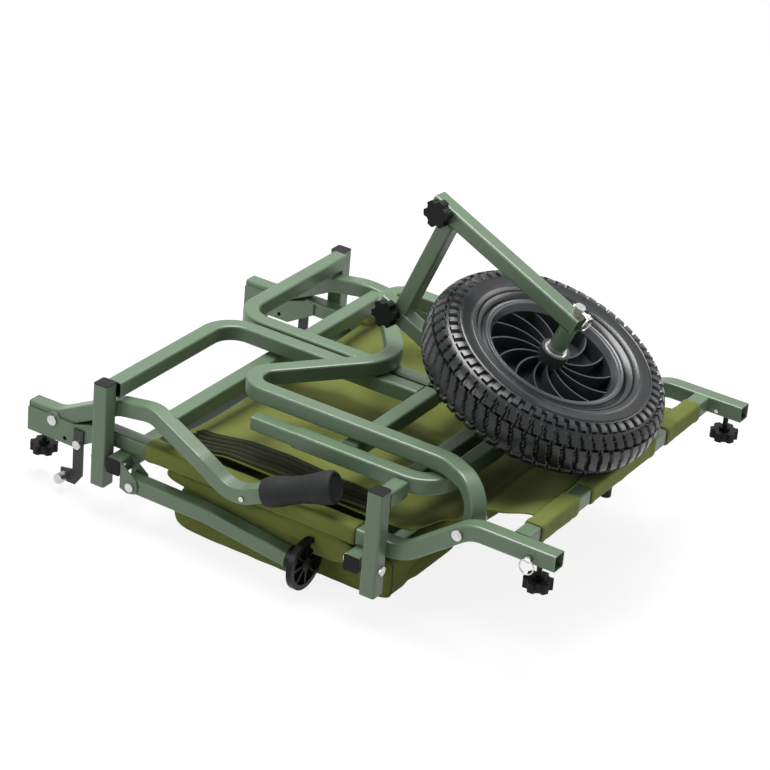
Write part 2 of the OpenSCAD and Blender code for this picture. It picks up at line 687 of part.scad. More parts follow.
// Rim: a dished ring with two lips, a web of curved spokes on each face and the hub
lip = 9;
rim_bed = rim_r - 14;
rim_in = rim_r - 17;
rim_hw = rim_w / 2;
spoke_r = 70;
module rim_ring() {
    rotate_extrude($fn = spin_fn) polygon([
        [rim_in, -rim_hw + 8], [rim_in + 6, -rim_hw], [rim_r - 3, -rim_hw], [rim_r, -rim_hw + 3],
        [rim_r, -rim_hw + 6], [rim_bed, -rim_hw + 13], [rim_bed, rim_hw - 13], [rim_r, rim_hw - 6],
        [rim_r, rim_hw - 3], [rim_r - 3, rim_hw], [rim_in + 6, rim_hw], [rim_in, rim_hw - 8]]);
}
module spoke() {
    intersection() {
        translate([0, spoke_r, 0]) difference() {
            rod_z(-26, 26, 0, 0, spoke_r + 1.25);
            rod_z(-27, 27, 0, 0, spoke_r - 1.25);
        }
        difference() {
            translate([0, -2, -26]) cube([rim_in + 2, spoke_r, 52]);
            rod_z(-27, 27, 0, 0, hub_r - 1);
        }
        rod_z(-26, 26, 0, 0, rim_in + 1);
    }
}
module rim() {
    color(black) on_wheel() difference() {
        union() {
            rim_ring();
            rod_z(-hub_len / 2, hub_len / 2, 0, 0, hub_r);
            rod_z(-2, 2, 0, 0, rim_in + 1);
            for (i = [0:spokes - 1]) rotate([0, 0, i * 360 / spokes]) spoke();
            rotate([0, 0, 156]) rod_x(rim_in - 20, rim_in + 2, 0, 0, 5);
        }
        rod_z(-hub_len, hub_len, 0, 0, axle_r + 2);
        for (s = [-1, 1]) translate([0, 0, s * (hub_len / 2 - bearing_w / 2 + 1)])
            rod_z(-bearing_w / 2 - 1, bearing_w / 2 + 1, 0, 0, bearing_r);
    }
}
tyre_hw = tyre_w / 2;
module tyre() {
    color(charcoal) on_wheel() rotate_extrude($fn = spin_fn) polygon([
        [rim_bed, -rim_hw + 13], [rim_r, -rim_hw + 6], [rim_r + 5, -rim_hw - 3], [rim_r + 16, -tyre_hw + 2],
        [rim_r + 32, -tyre_hw], [tyre_r - 34, -tyre_hw + 2.3], [tyre_r - 24, -tyre_hw + 6.3],
        [tyre_r - 12, -tyre_hw + 15], [tyre_r - 3, -tyre_hw + 30], [tyre_r, 0],
        [tyre_r - 3, tyre_hw - 30], [tyre_r - 12, tyre_hw - 15], [tyre_r - 24, tyre_hw - 6.3],
        [tyre_r - 34, tyre_hw - 2.3], [rim_r + 32, tyre_hw], [rim_r + 16, tyre_hw - 2],
        [rim_r + 5, rim_hw + 3], [rim_r, rim_hw - 6], [rim_bed, rim_hw - 13]]);
}
// Star knob with its screw along +Z from the knob's face
star_points = 6;
module star_knob(reach) {
    difference() {
        cylinder(h = knob_t, r = knob_r);
        for (i = [0:star_points - 1]) rotate([0, 0, i * 360 / star_points])
            translate([knob_r + 2, 0, -1]) cylinder(h = knob_t + 2, r = 6.5);
    }
    translate([0, 0, knob_t]) cylinder(h = 4, r = 8);
    translate([0, 0, knob_t + 4]) cylinder(h = reach, r = screw_r);
}
module knob_under(x, z, tip) {
    translate([x, -rail_y, z]) star_knob(tip - z - knob_t - 4);
}
knob_front_z = nose_zc - half - 38;
knob_rear_z = socket_z - 35;
module knob_front() { knob_under(knob_front_x, knob_front_z, nose_zc - half + 5); }
module knob_rear() { knob_under(knob_rear_x, knob_rear_z, handle_zc - half - 1.5); }
module knob_front_near() { color(black) at_near() knob_front(); }
module knob_front_far() { color(black) at_far() knob_front(); }
module knob_rear_near() { color(black) at_near() knob_rear(); }
module knob_rear_far() { color(black) at_far() knob_rear(); }
module knob_centre() {
    color(black) translate([stud_x, stud_y, nose_zc - half - cloth - 20]) {
        cylinder(h = 14, r = 8);
        cylinder(h = 24, r = stud_r);
    }
}
module fork_knob(z) {
    on_wheel() translate([fork_knob_x, -half - knob_t - 4.2, z]) rotate([-90, 0, 0]) star_knob(8);
}
module fork_knob_upper() { color(black) fork_knob(arm_mid_hi); }
module fork_knob_lower() { color(black) fork_knob(arm_mid_lo); }

// Ring pin: a shaft along +Y from a wire ring that hangs at its head
module ring_pin(reach) {
    rod_y(-4, reach, 0, 0, pin_r);
    rod_y(-6, -1, 0, 0, pin_r + 2);
    translate([0, -7, 1 - ring_r]) rotate([90, 0, 0])
        rotate_extrude($fn = 32) translate([ring_r, 0]) circle(r = 1.2, $fn = 8);
}
module ring_pin_front() { translate([ring_front_x, -rail_y - half, ring_front_z]) ring_pin(tube + 4); }
module ring_pin_front_near() { color(zinc) at_near() ring_pin_front(); }
module ring_pin_front_far() { color(zinc) at_far() ring_pin_front(); }
module axle_ring_pin() {
    color(zinc) on_wheel() translate([14, 0, fork_hi + tube + 8]) rotate([0, 0, 90]) ring_pin(24);
}

// Sleeves of cloth round the rails and the front tube
module sleeve_section(t) {
    difference() {
        square(tube + 2 * t, center = true);
        square(tube + 0.1, center = true);
    }
}
sleeve_x = rail_x + sleeve_back;
module side_sleeve() {
    translate([sleeve_x, -rail_y, rail_zc]) rotate([90, 0, 90]) linear_extrude(sleeve_len)
        sleeve_section(cloth);
}
module side_sleeves() {
    color(olive) {
        at_near() side_sleeve();
        at_far() side_sleeve();
    }
}
front_gap = 35;
sleeve_mid = 95;
sleeve_side = 105;
module front_sleeves() {
    side = sleeve_mid + front_gap;
    color(olive) difference() {
        for (e = [[-side - sleeve_side, -side], [-sleeve_mid, sleeve_mid], [side, side + sleeve_side]])
            translate([front_tube_x, e[1], nose_zc]) rotate([90, 0, 0])
                linear_extrude(e[1] - e[0]) sleeve_section(cloth);
        rod_z(nose_zc - tube, nose_zc, stud_x, stud_y, stud_r + 0.5);
    }
}
// Bed cloth: a crowned sheet between the rails that follows their ramp between the rack's feet
bed_x0 = rail_x + 110;
bed_w = 2 * (rail_y - half - cloth);
bed_front_w = 2 * (rack_nut_y - 24);
bed_z = rail_z + tube + 2;
bed_low = rail_z + 2;
bed_step = ramp_x + 20;
bed_front = front_tube_x - half - cloth;
module bed_side(w, points) {
    translate([0, w / 2, 0]) rotate([90, 0, 0]) linear_extrude(w) polygon(points);
}
module bed_cloth() {
    color(olive) {
        bed_side(bed_w, [[bed_x0, bed_low], [bed_x0, rail_z + 14], [bed_x0 + 40, bed_z - 4],
            [bed_x0 + 120, bed_z + 14], [bed_x0 + 240, bed_z + 12], [ramp_x - 60, bed_z + 6],
            [bed_step, bed_z + 10], [bed_step, bed_z - 4], [ramp_x - 60, bed_low]]);
        bed_side(bed_front_w, [[bed_step - 10, bed_z + 9], [bed_step, bed_z + 10], [nose_x - 10, nose_zc - 8],
            [bed_front, nose_zc + half - 4], [bed_front, nose_zc - 4], [nose_x, nose_zc - 26],
            [bed_step, bed_z - 4], [bed_step - 10, bed_z - 6]]);
    }
}
// Bag: a folded soft box hung below the bed, wider at the back between the legs
bag_x = rail_x + bag_back;
bag_w = 2 * (leg_y - foot_r - bag_foot_gap);
bag_rear_w = 2 * (leg_y - leg_w / 2 - bag_leg_gap);
bag_rear_end = bag_x + 190;
module bag() {
    color(olive) difference() {
        union() {
            bed_side(bag_w, [[bag_x + 14, 0], [bag_x, 16], [bag_x, 66], [bag_x + 16, bed_low],
                [bag_x + bag_len - 40, bed_low], [bag_x + bag_len - 14, bed_low - 12],
                [bag_x + bag_len, 60], [bag_x + bag_len, 14], [bag_x + bag_len - 12, 0]]);
            bed_side(bag_rear_w, [[bag_x + 22, 4], [bag_x + 8, 18], [bag_x + 8, 60], [bag_x + 20, 84],
                [bag_rear_end - 14, 84], [bag_rear_end, 66], [bag_rear_end, 16], [bag_rear_end - 12, 4]]);
        }
        translate([lower_front_x - half - 1, -frame_w, pivot_z - half - 1])
            cube([tube + 2, 2 * frame_w, tube + 4]);
    }
}

side_rail_near();
side_rail_far();
front_cross_tube();
lower_tube_rear();
lower_tube_front();
lower_tube_caps();
handle_socket_near();
handle_socket_far();
drop_bracket_near();
drop_bracket_far();
drop_bolts();
plunger_near();
plunger_far();
gate_near();
gate_far();
gate_caps_near();
gate_caps_far();
gate_bolts();
slide_tube_near();
slide_tube_far();
rack_hoop();
rack_legs();
rack_bolts();
handle_near();
handle_far();
handle_cross_bar();
handle_caps();
handle_bolts();
grip_near();
grip_far();
button_near();
button_far();
leg_hanger_near();
leg_hanger_far();
leg_near();
leg_far();
mud_foot_near();
mud_foot_far();
leg_bolts();
fork();
axle();
axle_spacers();
axle_nuts();
rim();
tyre();
hub_bearings();
fork_knob_upper();
fork_knob_lower();
knob_front_near();
knob_front_far();
knob_rear_near();
knob_rear_far();
ring_pin_front_near();
ring_pin_front_far();
axle_ring_pin();
side_sleeves();
front_sleeves();
bed_cloth();
bag();
knob_centre();
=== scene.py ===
"""Dresses the folded fishing trolley: tyre, cloth, bag, finishes, studio and camera."""

import json
import logging
import math
from dataclasses import dataclass, field
from enum import Enum
from typing import Optional, Sequence

import bpy
from mathutils import Matrix, Vector, noise

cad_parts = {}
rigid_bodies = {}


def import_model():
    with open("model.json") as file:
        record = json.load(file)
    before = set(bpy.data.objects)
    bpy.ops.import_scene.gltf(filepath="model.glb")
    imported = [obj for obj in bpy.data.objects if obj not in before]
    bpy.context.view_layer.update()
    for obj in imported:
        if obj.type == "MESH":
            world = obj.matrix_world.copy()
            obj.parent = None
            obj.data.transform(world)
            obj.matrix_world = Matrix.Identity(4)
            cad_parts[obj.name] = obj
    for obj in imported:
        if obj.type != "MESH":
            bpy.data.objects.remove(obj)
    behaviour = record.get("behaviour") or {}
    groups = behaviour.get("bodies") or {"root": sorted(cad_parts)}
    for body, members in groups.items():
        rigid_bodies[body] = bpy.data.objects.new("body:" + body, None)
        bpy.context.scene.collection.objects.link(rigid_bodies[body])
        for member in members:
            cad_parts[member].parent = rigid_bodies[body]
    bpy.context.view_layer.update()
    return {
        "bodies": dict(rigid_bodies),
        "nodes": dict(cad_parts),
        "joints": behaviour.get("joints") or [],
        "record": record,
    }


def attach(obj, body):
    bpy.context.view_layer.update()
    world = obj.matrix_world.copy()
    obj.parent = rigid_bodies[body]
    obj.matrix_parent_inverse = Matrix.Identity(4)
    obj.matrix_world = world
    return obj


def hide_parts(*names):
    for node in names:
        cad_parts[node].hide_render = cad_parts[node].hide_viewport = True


LOG = logging.getLogger("trolley")
Point = tuple[float, float, float]
Object = bpy.types.Object
Node = bpy.types.Node
Socket = bpy.types.NodeSocket
Tree = bpy.types.NodeTree

NODE_SHARP = math.radians(32.0)
TREAD_SHARP = math.radians(40.0)
EDGE_SHARP = math.radians(50.0)
COAT_ROUGHNESS = 0.25
ROUGHNESS_SWING = 0.06
BUMP_DISTANCE = 0.0006
SHADE_STOPS = (0.3, 0.7)
# Painted shade: cloth is mixed toward this share of its colour in noisy patches, which stand in for the shade
# in its folds.
PAINTED_FOLD_SHADE, PAINTED_FOLD_SHADE_SHARE = 0.7, 0.5
CORNER_START, CORNER_GAIN = 0.53, 9.0
BREAK_START, BREAK_GAIN = 0.42, 4.0
WEAVE_DISTORTION = 0.5


class Material(Enum):
    """The record's material slots."""

    PAINT = "green_paint"
    BLACK_PAINT = "black_paint"
    PLASTIC = "black_plastic"
    ZINC = "zinc"
    GRIP = "grip_rubber"
    TYRE = "tyre_rubber"
    CLOTH = "olive_cloth"


class Side(Enum):
    """The two sides of the trolley, as the sign of Y."""

    NEAR = -1
    FAR = 1


def smoothstep(low: float, high: float, value: float) -> float:
    """Eases from 0 to 1 between two values.

    Args:
        low: Where the rise starts.
        high: Where the rise ends.
        value: The value to ease.

    Returns:
        A number from 0 to 1.
    """
    t = min(1.0, max(0.0, (value - low) / (high - low)))
    return t * t * (3.0 - 2.0 * t)


def ripple(x: float, y: float, z: float, scale: float, seed: float = 0.0) -> float:
    """Reads smooth noise at a point.

    Args:
        x: Place along the trolley.
        y: Place across it.
        z: Height.
        scale: Cycles a metre.
        seed: Gives another noise.

    Returns:
        A number from -1 to 1.
    """
    return noise.noise(Vector((x * scale + seed, y * scale - seed, z * scale + 2.7 * seed)))


def piecewise(table: Sequence[tuple[float, float]], x: float) -> float:
    """Reads a smooth curve through a table of pairs.

    Args:
        table: Pairs of place and value, in rising order of place.
        x: The place to read.

    Returns:
        The value there, held at both ends.
    """
    if x <= table[0][0]:
        return table[0][1]
    for (x0, y0), (x1, y1) in zip(table, table[1:]):
        if x <= x1:
            return y0 + (y1 - y0) * smoothstep(x0, x1, x)
    return table[-1][1]


def mesh_object(name: str, points: Sequence[Point], faces: Sequence[Sequence[int]]) -> Object:
    """Makes a smooth object from points and faces.

    Args:
        name: Name of the object and its mesh.
        points: Corners in metres.
        faces: Corner numbers of each face.

    Returns:
        The new object, linked to the scene.
    """
    mesh = bpy.data.meshes.new(name)
    mesh.from_pydata([tuple(p) for p in points], [], [tuple(f) for f in faces])
    mesh.validate()
    mesh.polygons.foreach_set("use_smooth", [True] * len(mesh.polygons))
    mesh.update()
    made = bpy.data.objects.new(name, mesh)
    bpy.context.collection.objects.link(made)
    return made


def rows_to_faces(rows: int, columns: int, loop_rows: bool = False,
                  loop_columns: bool = False) -> list[list[int]]:
    """Numbers the quads of a grid of points.

    Args:
        rows: Number of rows.
        columns: Points in a row.
        loop_rows: Whether the last row joins the first.
        loop_columns: Whether the last column joins the first.

    Returns:
        Corner numbers of each quad.
    """
    faces = []
    for i in range(rows if loop_rows else rows - 1):
        for j in range(columns if loop_columns else columns - 1):
            a, b = i * columns + j, i * columns + (j + 1) % columns
            c, d = ((i + 1) % rows) * columns + (j + 1) % columns, ((i + 1) % rows) * columns + j
            faces.append([a, b, c, d])
    return faces


def flipped(faces: Sequence[Sequence[int]]) -> list[list[int]]:
    """Turns faces to look the other way.

    Args:
        faces: Corner numbers of each face.

    Returns:
        The faces with their corners in reverse.
    """
    return [list(reversed(f)) for f in faces]


def spoke(i: int, count: int) -> tuple[float, float]:
    """Finds one of the even steps round a circle.

    Args:
        i: Number of the step.
        count: How many steps the circle has.

    Returns:
        Its cosine and sine.
    """
    a = 2.0 * math.pi * i / count
    return math.cos(a), math.sin(a)


def squared(c: float, s: float, power: int) -> float:
    """Swells a circle towards a square.

    Args:
        c: Cosine of the angle.
        s: Sine of the angle.
        power: 2 leaves the circle, and more brings it nearer to the square.

    Returns:
        Distance from the centre, which is 1 in the middle of each side.
    """
    return 1.0 / (abs(c) ** power + abs(s) ** power) ** (1.0 / power)


def cloth_sheet(name: str, rows: list[list[Point]], thickness: float) -> Object:
    """Makes a closed thin sheet from a grid of points on its upper side.

    Args:
        name: Name of the object.
        rows: Points of each row.
        thickness: Thickness of the cloth, added below.

    Returns:
        The sheet, as a plain mesh.
    """
    made = mesh_object(name, [p for row in rows for p in row], rows_to_faces(len(rows), len(rows[0])))
    solid = made.modifiers.new("thickness", "SOLIDIFY")
    solid.thickness = thickness
    solid.offset = -1.0
    flat = made.data
    made.data = bpy.data.meshes.new_from_object(made.evaluated_get(bpy.context.evaluated_depsgraph_get()))
    made.modifiers.clear()
    bpy.data.meshes.remove(flat)
    made.data.name = name
    made.data.polygons.foreach_set("use_smooth", [True] * len(made.data.polygons))
    return made


def joined(name: str, parts: Sequence[Object]) -> Object:
    """Joins objects into one.

    Args:
        name: Name of the joined object.
        parts: The objects, which are used up.

    Returns:
        The joined object.
    """
    points: list[Point] = []
    faces: list[list[int]] = []
    for part in parts:
        start = len(points)
        points += [tuple(part.matrix_world @ v.co) for v in part.data.vertices]
        faces += [[start + i for i in p.vertices] for p in part.data.polygons]
        bpy.data.objects.remove(part)
    return mesh_object(name, points, faces)


def maths(tree: Tree, operation: str, *values: object) -> Socket:
    """Adds a maths node.

    Args:
        tree: The tree.
        operation: Name of the operation.
        values: Sockets or numbers for its inputs.

    Returns:
        The node's output.
    """
    made = tree.nodes.new("ShaderNodeMath")
    made.operation = operation
    for slot, value in zip(made.inputs, values):
        if isinstance(value, float):
            slot.default_value = value
        else:
            tree.links.new(value, slot)
    return made.outputs[0]


class Effects:
    """Shader node groups that several materials share."""

    def __init__(self) -> None:
        """Builds every group once."""
        self.grain = self._grain()
        self.weave = self._weave()
        self.wear = self._wear()

    @staticmethod
    def _group(name: str, inputs: dict[str, float], outputs: Sequence[str]) -> tuple[Tree, Node, Node]:
        """Starts a group with named number sockets.

        Args:
            name: Name of the group.
            inputs: Input names and their defaults.
            outputs: Output names.

        Returns:
            The group's tree, its input node and its output node.
        """
        tree = bpy.data.node_groups.new(name, "ShaderNodeTree")
        for key, value in inputs.items():
            socket = tree.interface.new_socket(key, in_out="INPUT", socket_type="NodeSocketFloat")
            socket.default_value = value
        for key in outputs:
            tree.interface.new_socket(key, in_out="OUTPUT", socket_type="NodeSocketFloat")
        return tree, tree.nodes.new("NodeGroupInput"), tree.nodes.new("NodeGroupOutput")

    @staticmethod
    def _noise(tree: Tree, scale: Socket, detail: float) -> Socket:
        """Adds a noise texture to a tree.

        Args:
            tree: The tree.
            scale: Its scale.
            detail: Octaves of finer noise.

        Returns:
            The noise, from 0 to 1.
        """
        made = tree.nodes.new("ShaderNodeTexNoise")
        made.inputs["Detail"].default_value = detail
        tree.links.new(tree.nodes.new("ShaderNodeTexCoord").outputs["Object"], made.inputs["Vector"])
        tree.links.new(scale, made.inputs["Scale"])
        return made.outputs[0]

    def _grain(self) -> Tree:
        """Builds fine noise for moulded plastic and powder coat.

        Returns:
            The group.
        """
        tree, gin, gout = self._group("surface_grain", {"Scale": 900.0, "Broad Scale": 14.0},
                                      ["Height", "Broad"])
        tree.links.new(self._noise(tree, gin.outputs["Scale"], 3.0), gout.inputs["Height"])
        tree.links.new(self._noise(tree, gin.outputs["Broad Scale"], 4.0), gout.inputs["Broad"])
        return tree

    def _weave(self) -> Tree:
        """Builds threads that cross on every face, whichever way it looks, broken up by noise, and a noise
        mask for the cloth's painted fold shade.

        Returns:
            The group.
        """
        tree, gin, gout = self._group("cloth_weave", {"Scale": 260.0, "Painted Fold Scale": 38.0}, ["Height", "Painted Fold Shade"])
        place = tree.nodes.new("ShaderNodeTexCoord").outputs["Object"]
        facing = tree.nodes.new("ShaderNodeSeparateXYZ")
        tree.links.new(tree.nodes.new("ShaderNodeNewGeometry").outputs["Normal"], facing.inputs[0])
        total: Optional[Socket] = None
        for axis in ("X", "Y", "Z"):
            wave = tree.nodes.new("ShaderNodeTexWave")
            wave.bands_direction = axis
            wave.inputs["Distortion"].default_value = WEAVE_DISTORTION
            tree.links.new(place, wave.inputs["Vector"])
            tree.links.new(gin.outputs["Scale"], wave.inputs["Scale"])
            share = maths(tree, "SUBTRACT", 1.0, maths(tree, "ABSOLUTE", facing.outputs[axis]))
            part = maths(tree, "MULTIPLY", wave.outputs["Fac"], share)
            total = part if total is None else maths(tree, "ADD", total, part)
        tree.links.new(total, gout.inputs["Height"])
        # The second output is plain noise, which the cloth uses as the mask of its painted fold shade.
        tree.links.new(self._noise(tree, gin.outputs["Painted Fold Scale"], 5.0), gout.inputs["Painted Fold Shade"])
        return tree

    def _wear(self) -> Tree:
        """Builds a mask of rubbed corners, broken up by noise.

        Returns:
            The group.
        """
        tree, gin, gout = self._group("edge_wear", {"Amount": 0.4, "Scale": 120.0}, ["Mask"])
        geometry = tree.nodes.new("ShaderNodeNewGeometry")
        corner = maths(tree, "SUBTRACT", geometry.outputs["Pointiness"], CORNER_START)
        edge = maths(tree, "MULTIPLY", corner, CORNER_GAIN)
        patch = maths(tree, "SUBTRACT", self._noise(tree, gin.outputs["Scale"], 4.0), BREAK_START)
        rough = maths(tree, "MULTIPLY", patch, BREAK_GAIN)
        worn = maths(tree, "MULTIPLY", edge, rough)
        mask = maths(tree, "MULTIPLY", worn, gin.outputs["Amount"])
        capped = maths(tree, "MINIMUM", maths(tree, "MAXIMUM", mask, 0.0), 1.0)
        tree.links.new(capped, gout.inputs["Mask"])
        return tree


@dataclass(frozen=True)
class Finish:
    """A material's plain values and how strongly each shared effect shows on it."""

    name: str
    color: Point
    roughness: float
    metallic: float = 0.0
    specular: float = 0.5
    dark: float = 0.75
    light: float = 1.2
    grain_scale: float = 900.0
    grain_bump: float = 0.08
    broad_scale: float = 14.0
    weave_scale: float = 0.0
    weave_bump: float = 0.0
    wear: float = 0.0
    wear_color: Point = (0.4, 0.42, 0.4)
    sheen: float = 0.0
    coat: float = 0.0

    def build(self, effects: Effects) -> bpy.types.Material:
        """Builds the material's nodes.

        Args:
            effects: The shared groups.

        Returns:
            The material.
        """
        made = bpy.data.materials.new(self.name)
        made.use_nodes = True
        tree = made.node_tree
        shader = next(n for n in tree.nodes if n.type == "BSDF_PRINCIPLED")
        for key, value in (("Metallic", self.metallic), ("Specular IOR Level", self.specular),
                           ("Sheen Weight", self.sheen), ("Coat Weight", self.coat),
                           ("Coat Roughness", COAT_ROUGHNESS)):
            shader.inputs[key].default_value = value
        grain = self._place(tree, effects.grain, {"Scale": self.grain_scale, "Broad Scale": self.broad_scale})
        color = self._shades(tree, grain.outputs["Broad"])
        height, strength = grain.outputs["Height"], self.grain_bump
        if self.weave_scale:
            weave = self._place(tree, effects.weave, {"Scale": self.weave_scale})
            height, strength = weave.outputs["Height"], self.weave_bump
            # Painted shade: noisy darker patches that stand in for the shade in the cloth's folds.
            shade = tuple(PAINTED_FOLD_SHADE * c for c in self.color)
            color = self._mixed(tree, weave.outputs["Painted Fold Shade"], color, shade, PAINTED_FOLD_SHADE_SHARE)
        if self.wear:
            wear = self._place(tree, effects.wear, {"Amount": self.wear})
            color = self._mixed(tree, wear.outputs["Mask"], color, self.wear_color, 1.0)
        tree.links.new(color, shader.inputs["Base Color"])
        ramp = tree.nodes.new("ShaderNodeMapRange")
        ramp.inputs["To Min"].default_value = max(0.0, self.roughness - ROUGHNESS_SWING)
        ramp.inputs["To Max"].default_value = min(1.0, self.roughness + ROUGHNESS_SWING)
        tree.links.new(grain.outputs["Broad"], ramp.inputs["Value"])
        tree.links.new(ramp.outputs[0], shader.inputs["Roughness"])
        bump = tree.nodes.new("ShaderNodeBump")
        bump.inputs["Strength"].default_value = strength
        bump.inputs["Distance"].default_value = BUMP_DISTANCE
        tree.links.new(height, bump.inputs["Height"])
        tree.links.new(bump.outputs[0], shader.inputs["Normal"])
        return made

    @staticmethod
    def _place(tree: Tree, group: Tree, values: dict[str, float]) -> Node:
        """Places a shared group with its own values.

        Args:
            tree: The material's tree.
            group: The group.
            values: Input names and their values.

        Returns:
            The group node.
        """
        node = tree.nodes.new("ShaderNodeGroup")
        node.node_tree = group
        for key, value in values.items():
            node.inputs[key].default_value = value
        return node

    def _shades(self, tree: Tree, fac: Socket) -> Socket:
        """Adds the slow change from the darker to the lighter shade.

        Args:
            tree: The material's tree.
            fac: What drives the change.

        Returns:
            The colour.
        """
        ramp = tree.nodes.new("ShaderNodeValToRGB")
        for stop, place, shade in zip(ramp.color_ramp.elements, SHADE_STOPS, (self.dark, self.light)):
            stop.position = place
            stop.color = (*[c * shade for c in self.color], 1.0)
        tree.links.new(fac, ramp.inputs[0])
        return ramp.outputs[0]

    @staticmethod
    def _mixed(tree: Tree, fac: Socket, base: Socket, color: Point, amount: float) -> Socket:
        """Mixes a plain colour over another by a mask.

        Args:
            tree: The material's tree.
            fac: The mask.
            base: The colour below.
            color: The colour above.
            amount: How much of the mask counts.

        Returns:
            The mixed colour.
        """
        mix = tree.nodes.new("ShaderNodeMix")
        mix.data_type = "RGBA"
        below, above = (slot for slot in mix.inputs if slot.type == "RGBA")
        tree.links.new(base, below)
        above.default_value = (*color, 1.0)
        tree.links.new(maths(tree, "MULTIPLY", fac, amount), mix.inputs[0])
        return next(s for s in mix.outputs if s.type == "RGBA")


FINISHES = {
    Material.PAINT: Finish("sage_powder_coat", (0.076, 0.120, 0.070), 0.34, specular=0.42, dark=0.95,
                           light=1.06, grain_scale=1400.0, grain_bump=0.10, broad_scale=7.0, coat=0.08),
    Material.BLACK_PAINT: Finish("black_powder_coat", (0.010, 0.011, 0.011), 0.34, specular=0.45,
                                 grain_scale=1300.0, grain_bump=0.15),
    Material.PLASTIC: Finish("moulded_plastic", (0.0055, 0.0068, 0.0060), 0.34, specular=0.14, dark=0.85,
                             light=1.15, grain_scale=1100.0, grain_bump=0.2, broad_scale=20.0),
    Material.ZINC: Finish("zinc_plate", (0.60, 0.60, 0.58), 0.26, metallic=1.0, dark=0.85, light=1.08,
                          grain_scale=700.0, grain_bump=0.06, broad_scale=90.0),
    Material.GRIP: Finish("grip_foam", (0.0085, 0.0095, 0.0100), 0.66, specular=0.25, dark=0.85, light=1.15,
                          grain_scale=1600.0, grain_bump=0.5, broad_scale=40.0),
    Material.TYRE: Finish("tyre_rubber", (0.0036, 0.0046, 0.0058), 0.26, specular=0.46, dark=0.85, light=1.15,
                          grain_scale=1200.0, grain_bump=0.2, broad_scale=30.0, wear=0.12,
                          wear_color=(0.03, 0.03, 0.032)),
    Material.CLOTH: Finish("olive_cloth", (0.118, 0.138, 0.028), 0.76, specular=0.14, sheen=0.04, dark=0.86,
                           light=1.12, broad_scale=11.0, weave_scale=260.0, weave_bump=0.45),
}
RIM = Finish("rim_enamel", (0.027, 0.031, 0.034), 0.27, specular=0.5, grain_bump=0.05)
OWN_FINISHES = {"rim": RIM}
MESH_CLOTH = Finish("dark_mesh_cloth", (0.03, 0.034, 0.016), 0.82, specular=0.2, weave_scale=150.0,
                    weave_bump=0.9, broad_scale=20.0)
BINDING = Finish("olive_binding", (0.062, 0.072, 0.02), 0.7, specular=0.3, weave_scale=420.0, weave_bump=0.6)


@dataclass
class Dresser:
    """Puts finishes on pieces and CAD nodes."""

    effects: Effects
    made: dict[str, bpy.types.Material] = field(default_factory=dict)

    def material(self, finish: Finish) -> bpy.types.Material:
        """Finds a finish's material, and builds it on first use.

        Args:
            finish: The finish.

        Returns:
            Its material.
        """
        if finish.name not in self.made:
            self.made[finish.name] = finish.build(self.effects)
        return self.made[finish.name]

    def dress(self, piece: Object, slot: Material,
              finish: Optional[Finish] = None) -> Object:
        """Gives a piece its finish, its own or its slot's.

        Args:
            piece: The piece.
            slot: The record's slot.
            finish: A finish of its own, or None for the slot's.

        Returns:
            The piece.
        """
        piece.data.materials.clear()
        piece.data.materials.append(self.material(finish or FINISHES[slot]))
        return piece

    def dress_nodes(self, frame: dict) -> None:
        """Gives every CAD node the finish of its slot.

        Args:
            frame: The loaded frame.
        """
        slots = {s["node"]: s["material_slot"] for s in frame["record"]["subparts"]}
        for name, node in frame["nodes"].items():
            finish = OWN_FINISHES.get(name, FINISHES[Material(slots[name])])
            for item in node.material_slots:
                item.material = self.material(finish)
            node.data.polygons.foreach_set("use_smooth", [True] * len(node.data.polygons))
            node.data.set_sharp_from_angle(angle=NODE_SHARP)


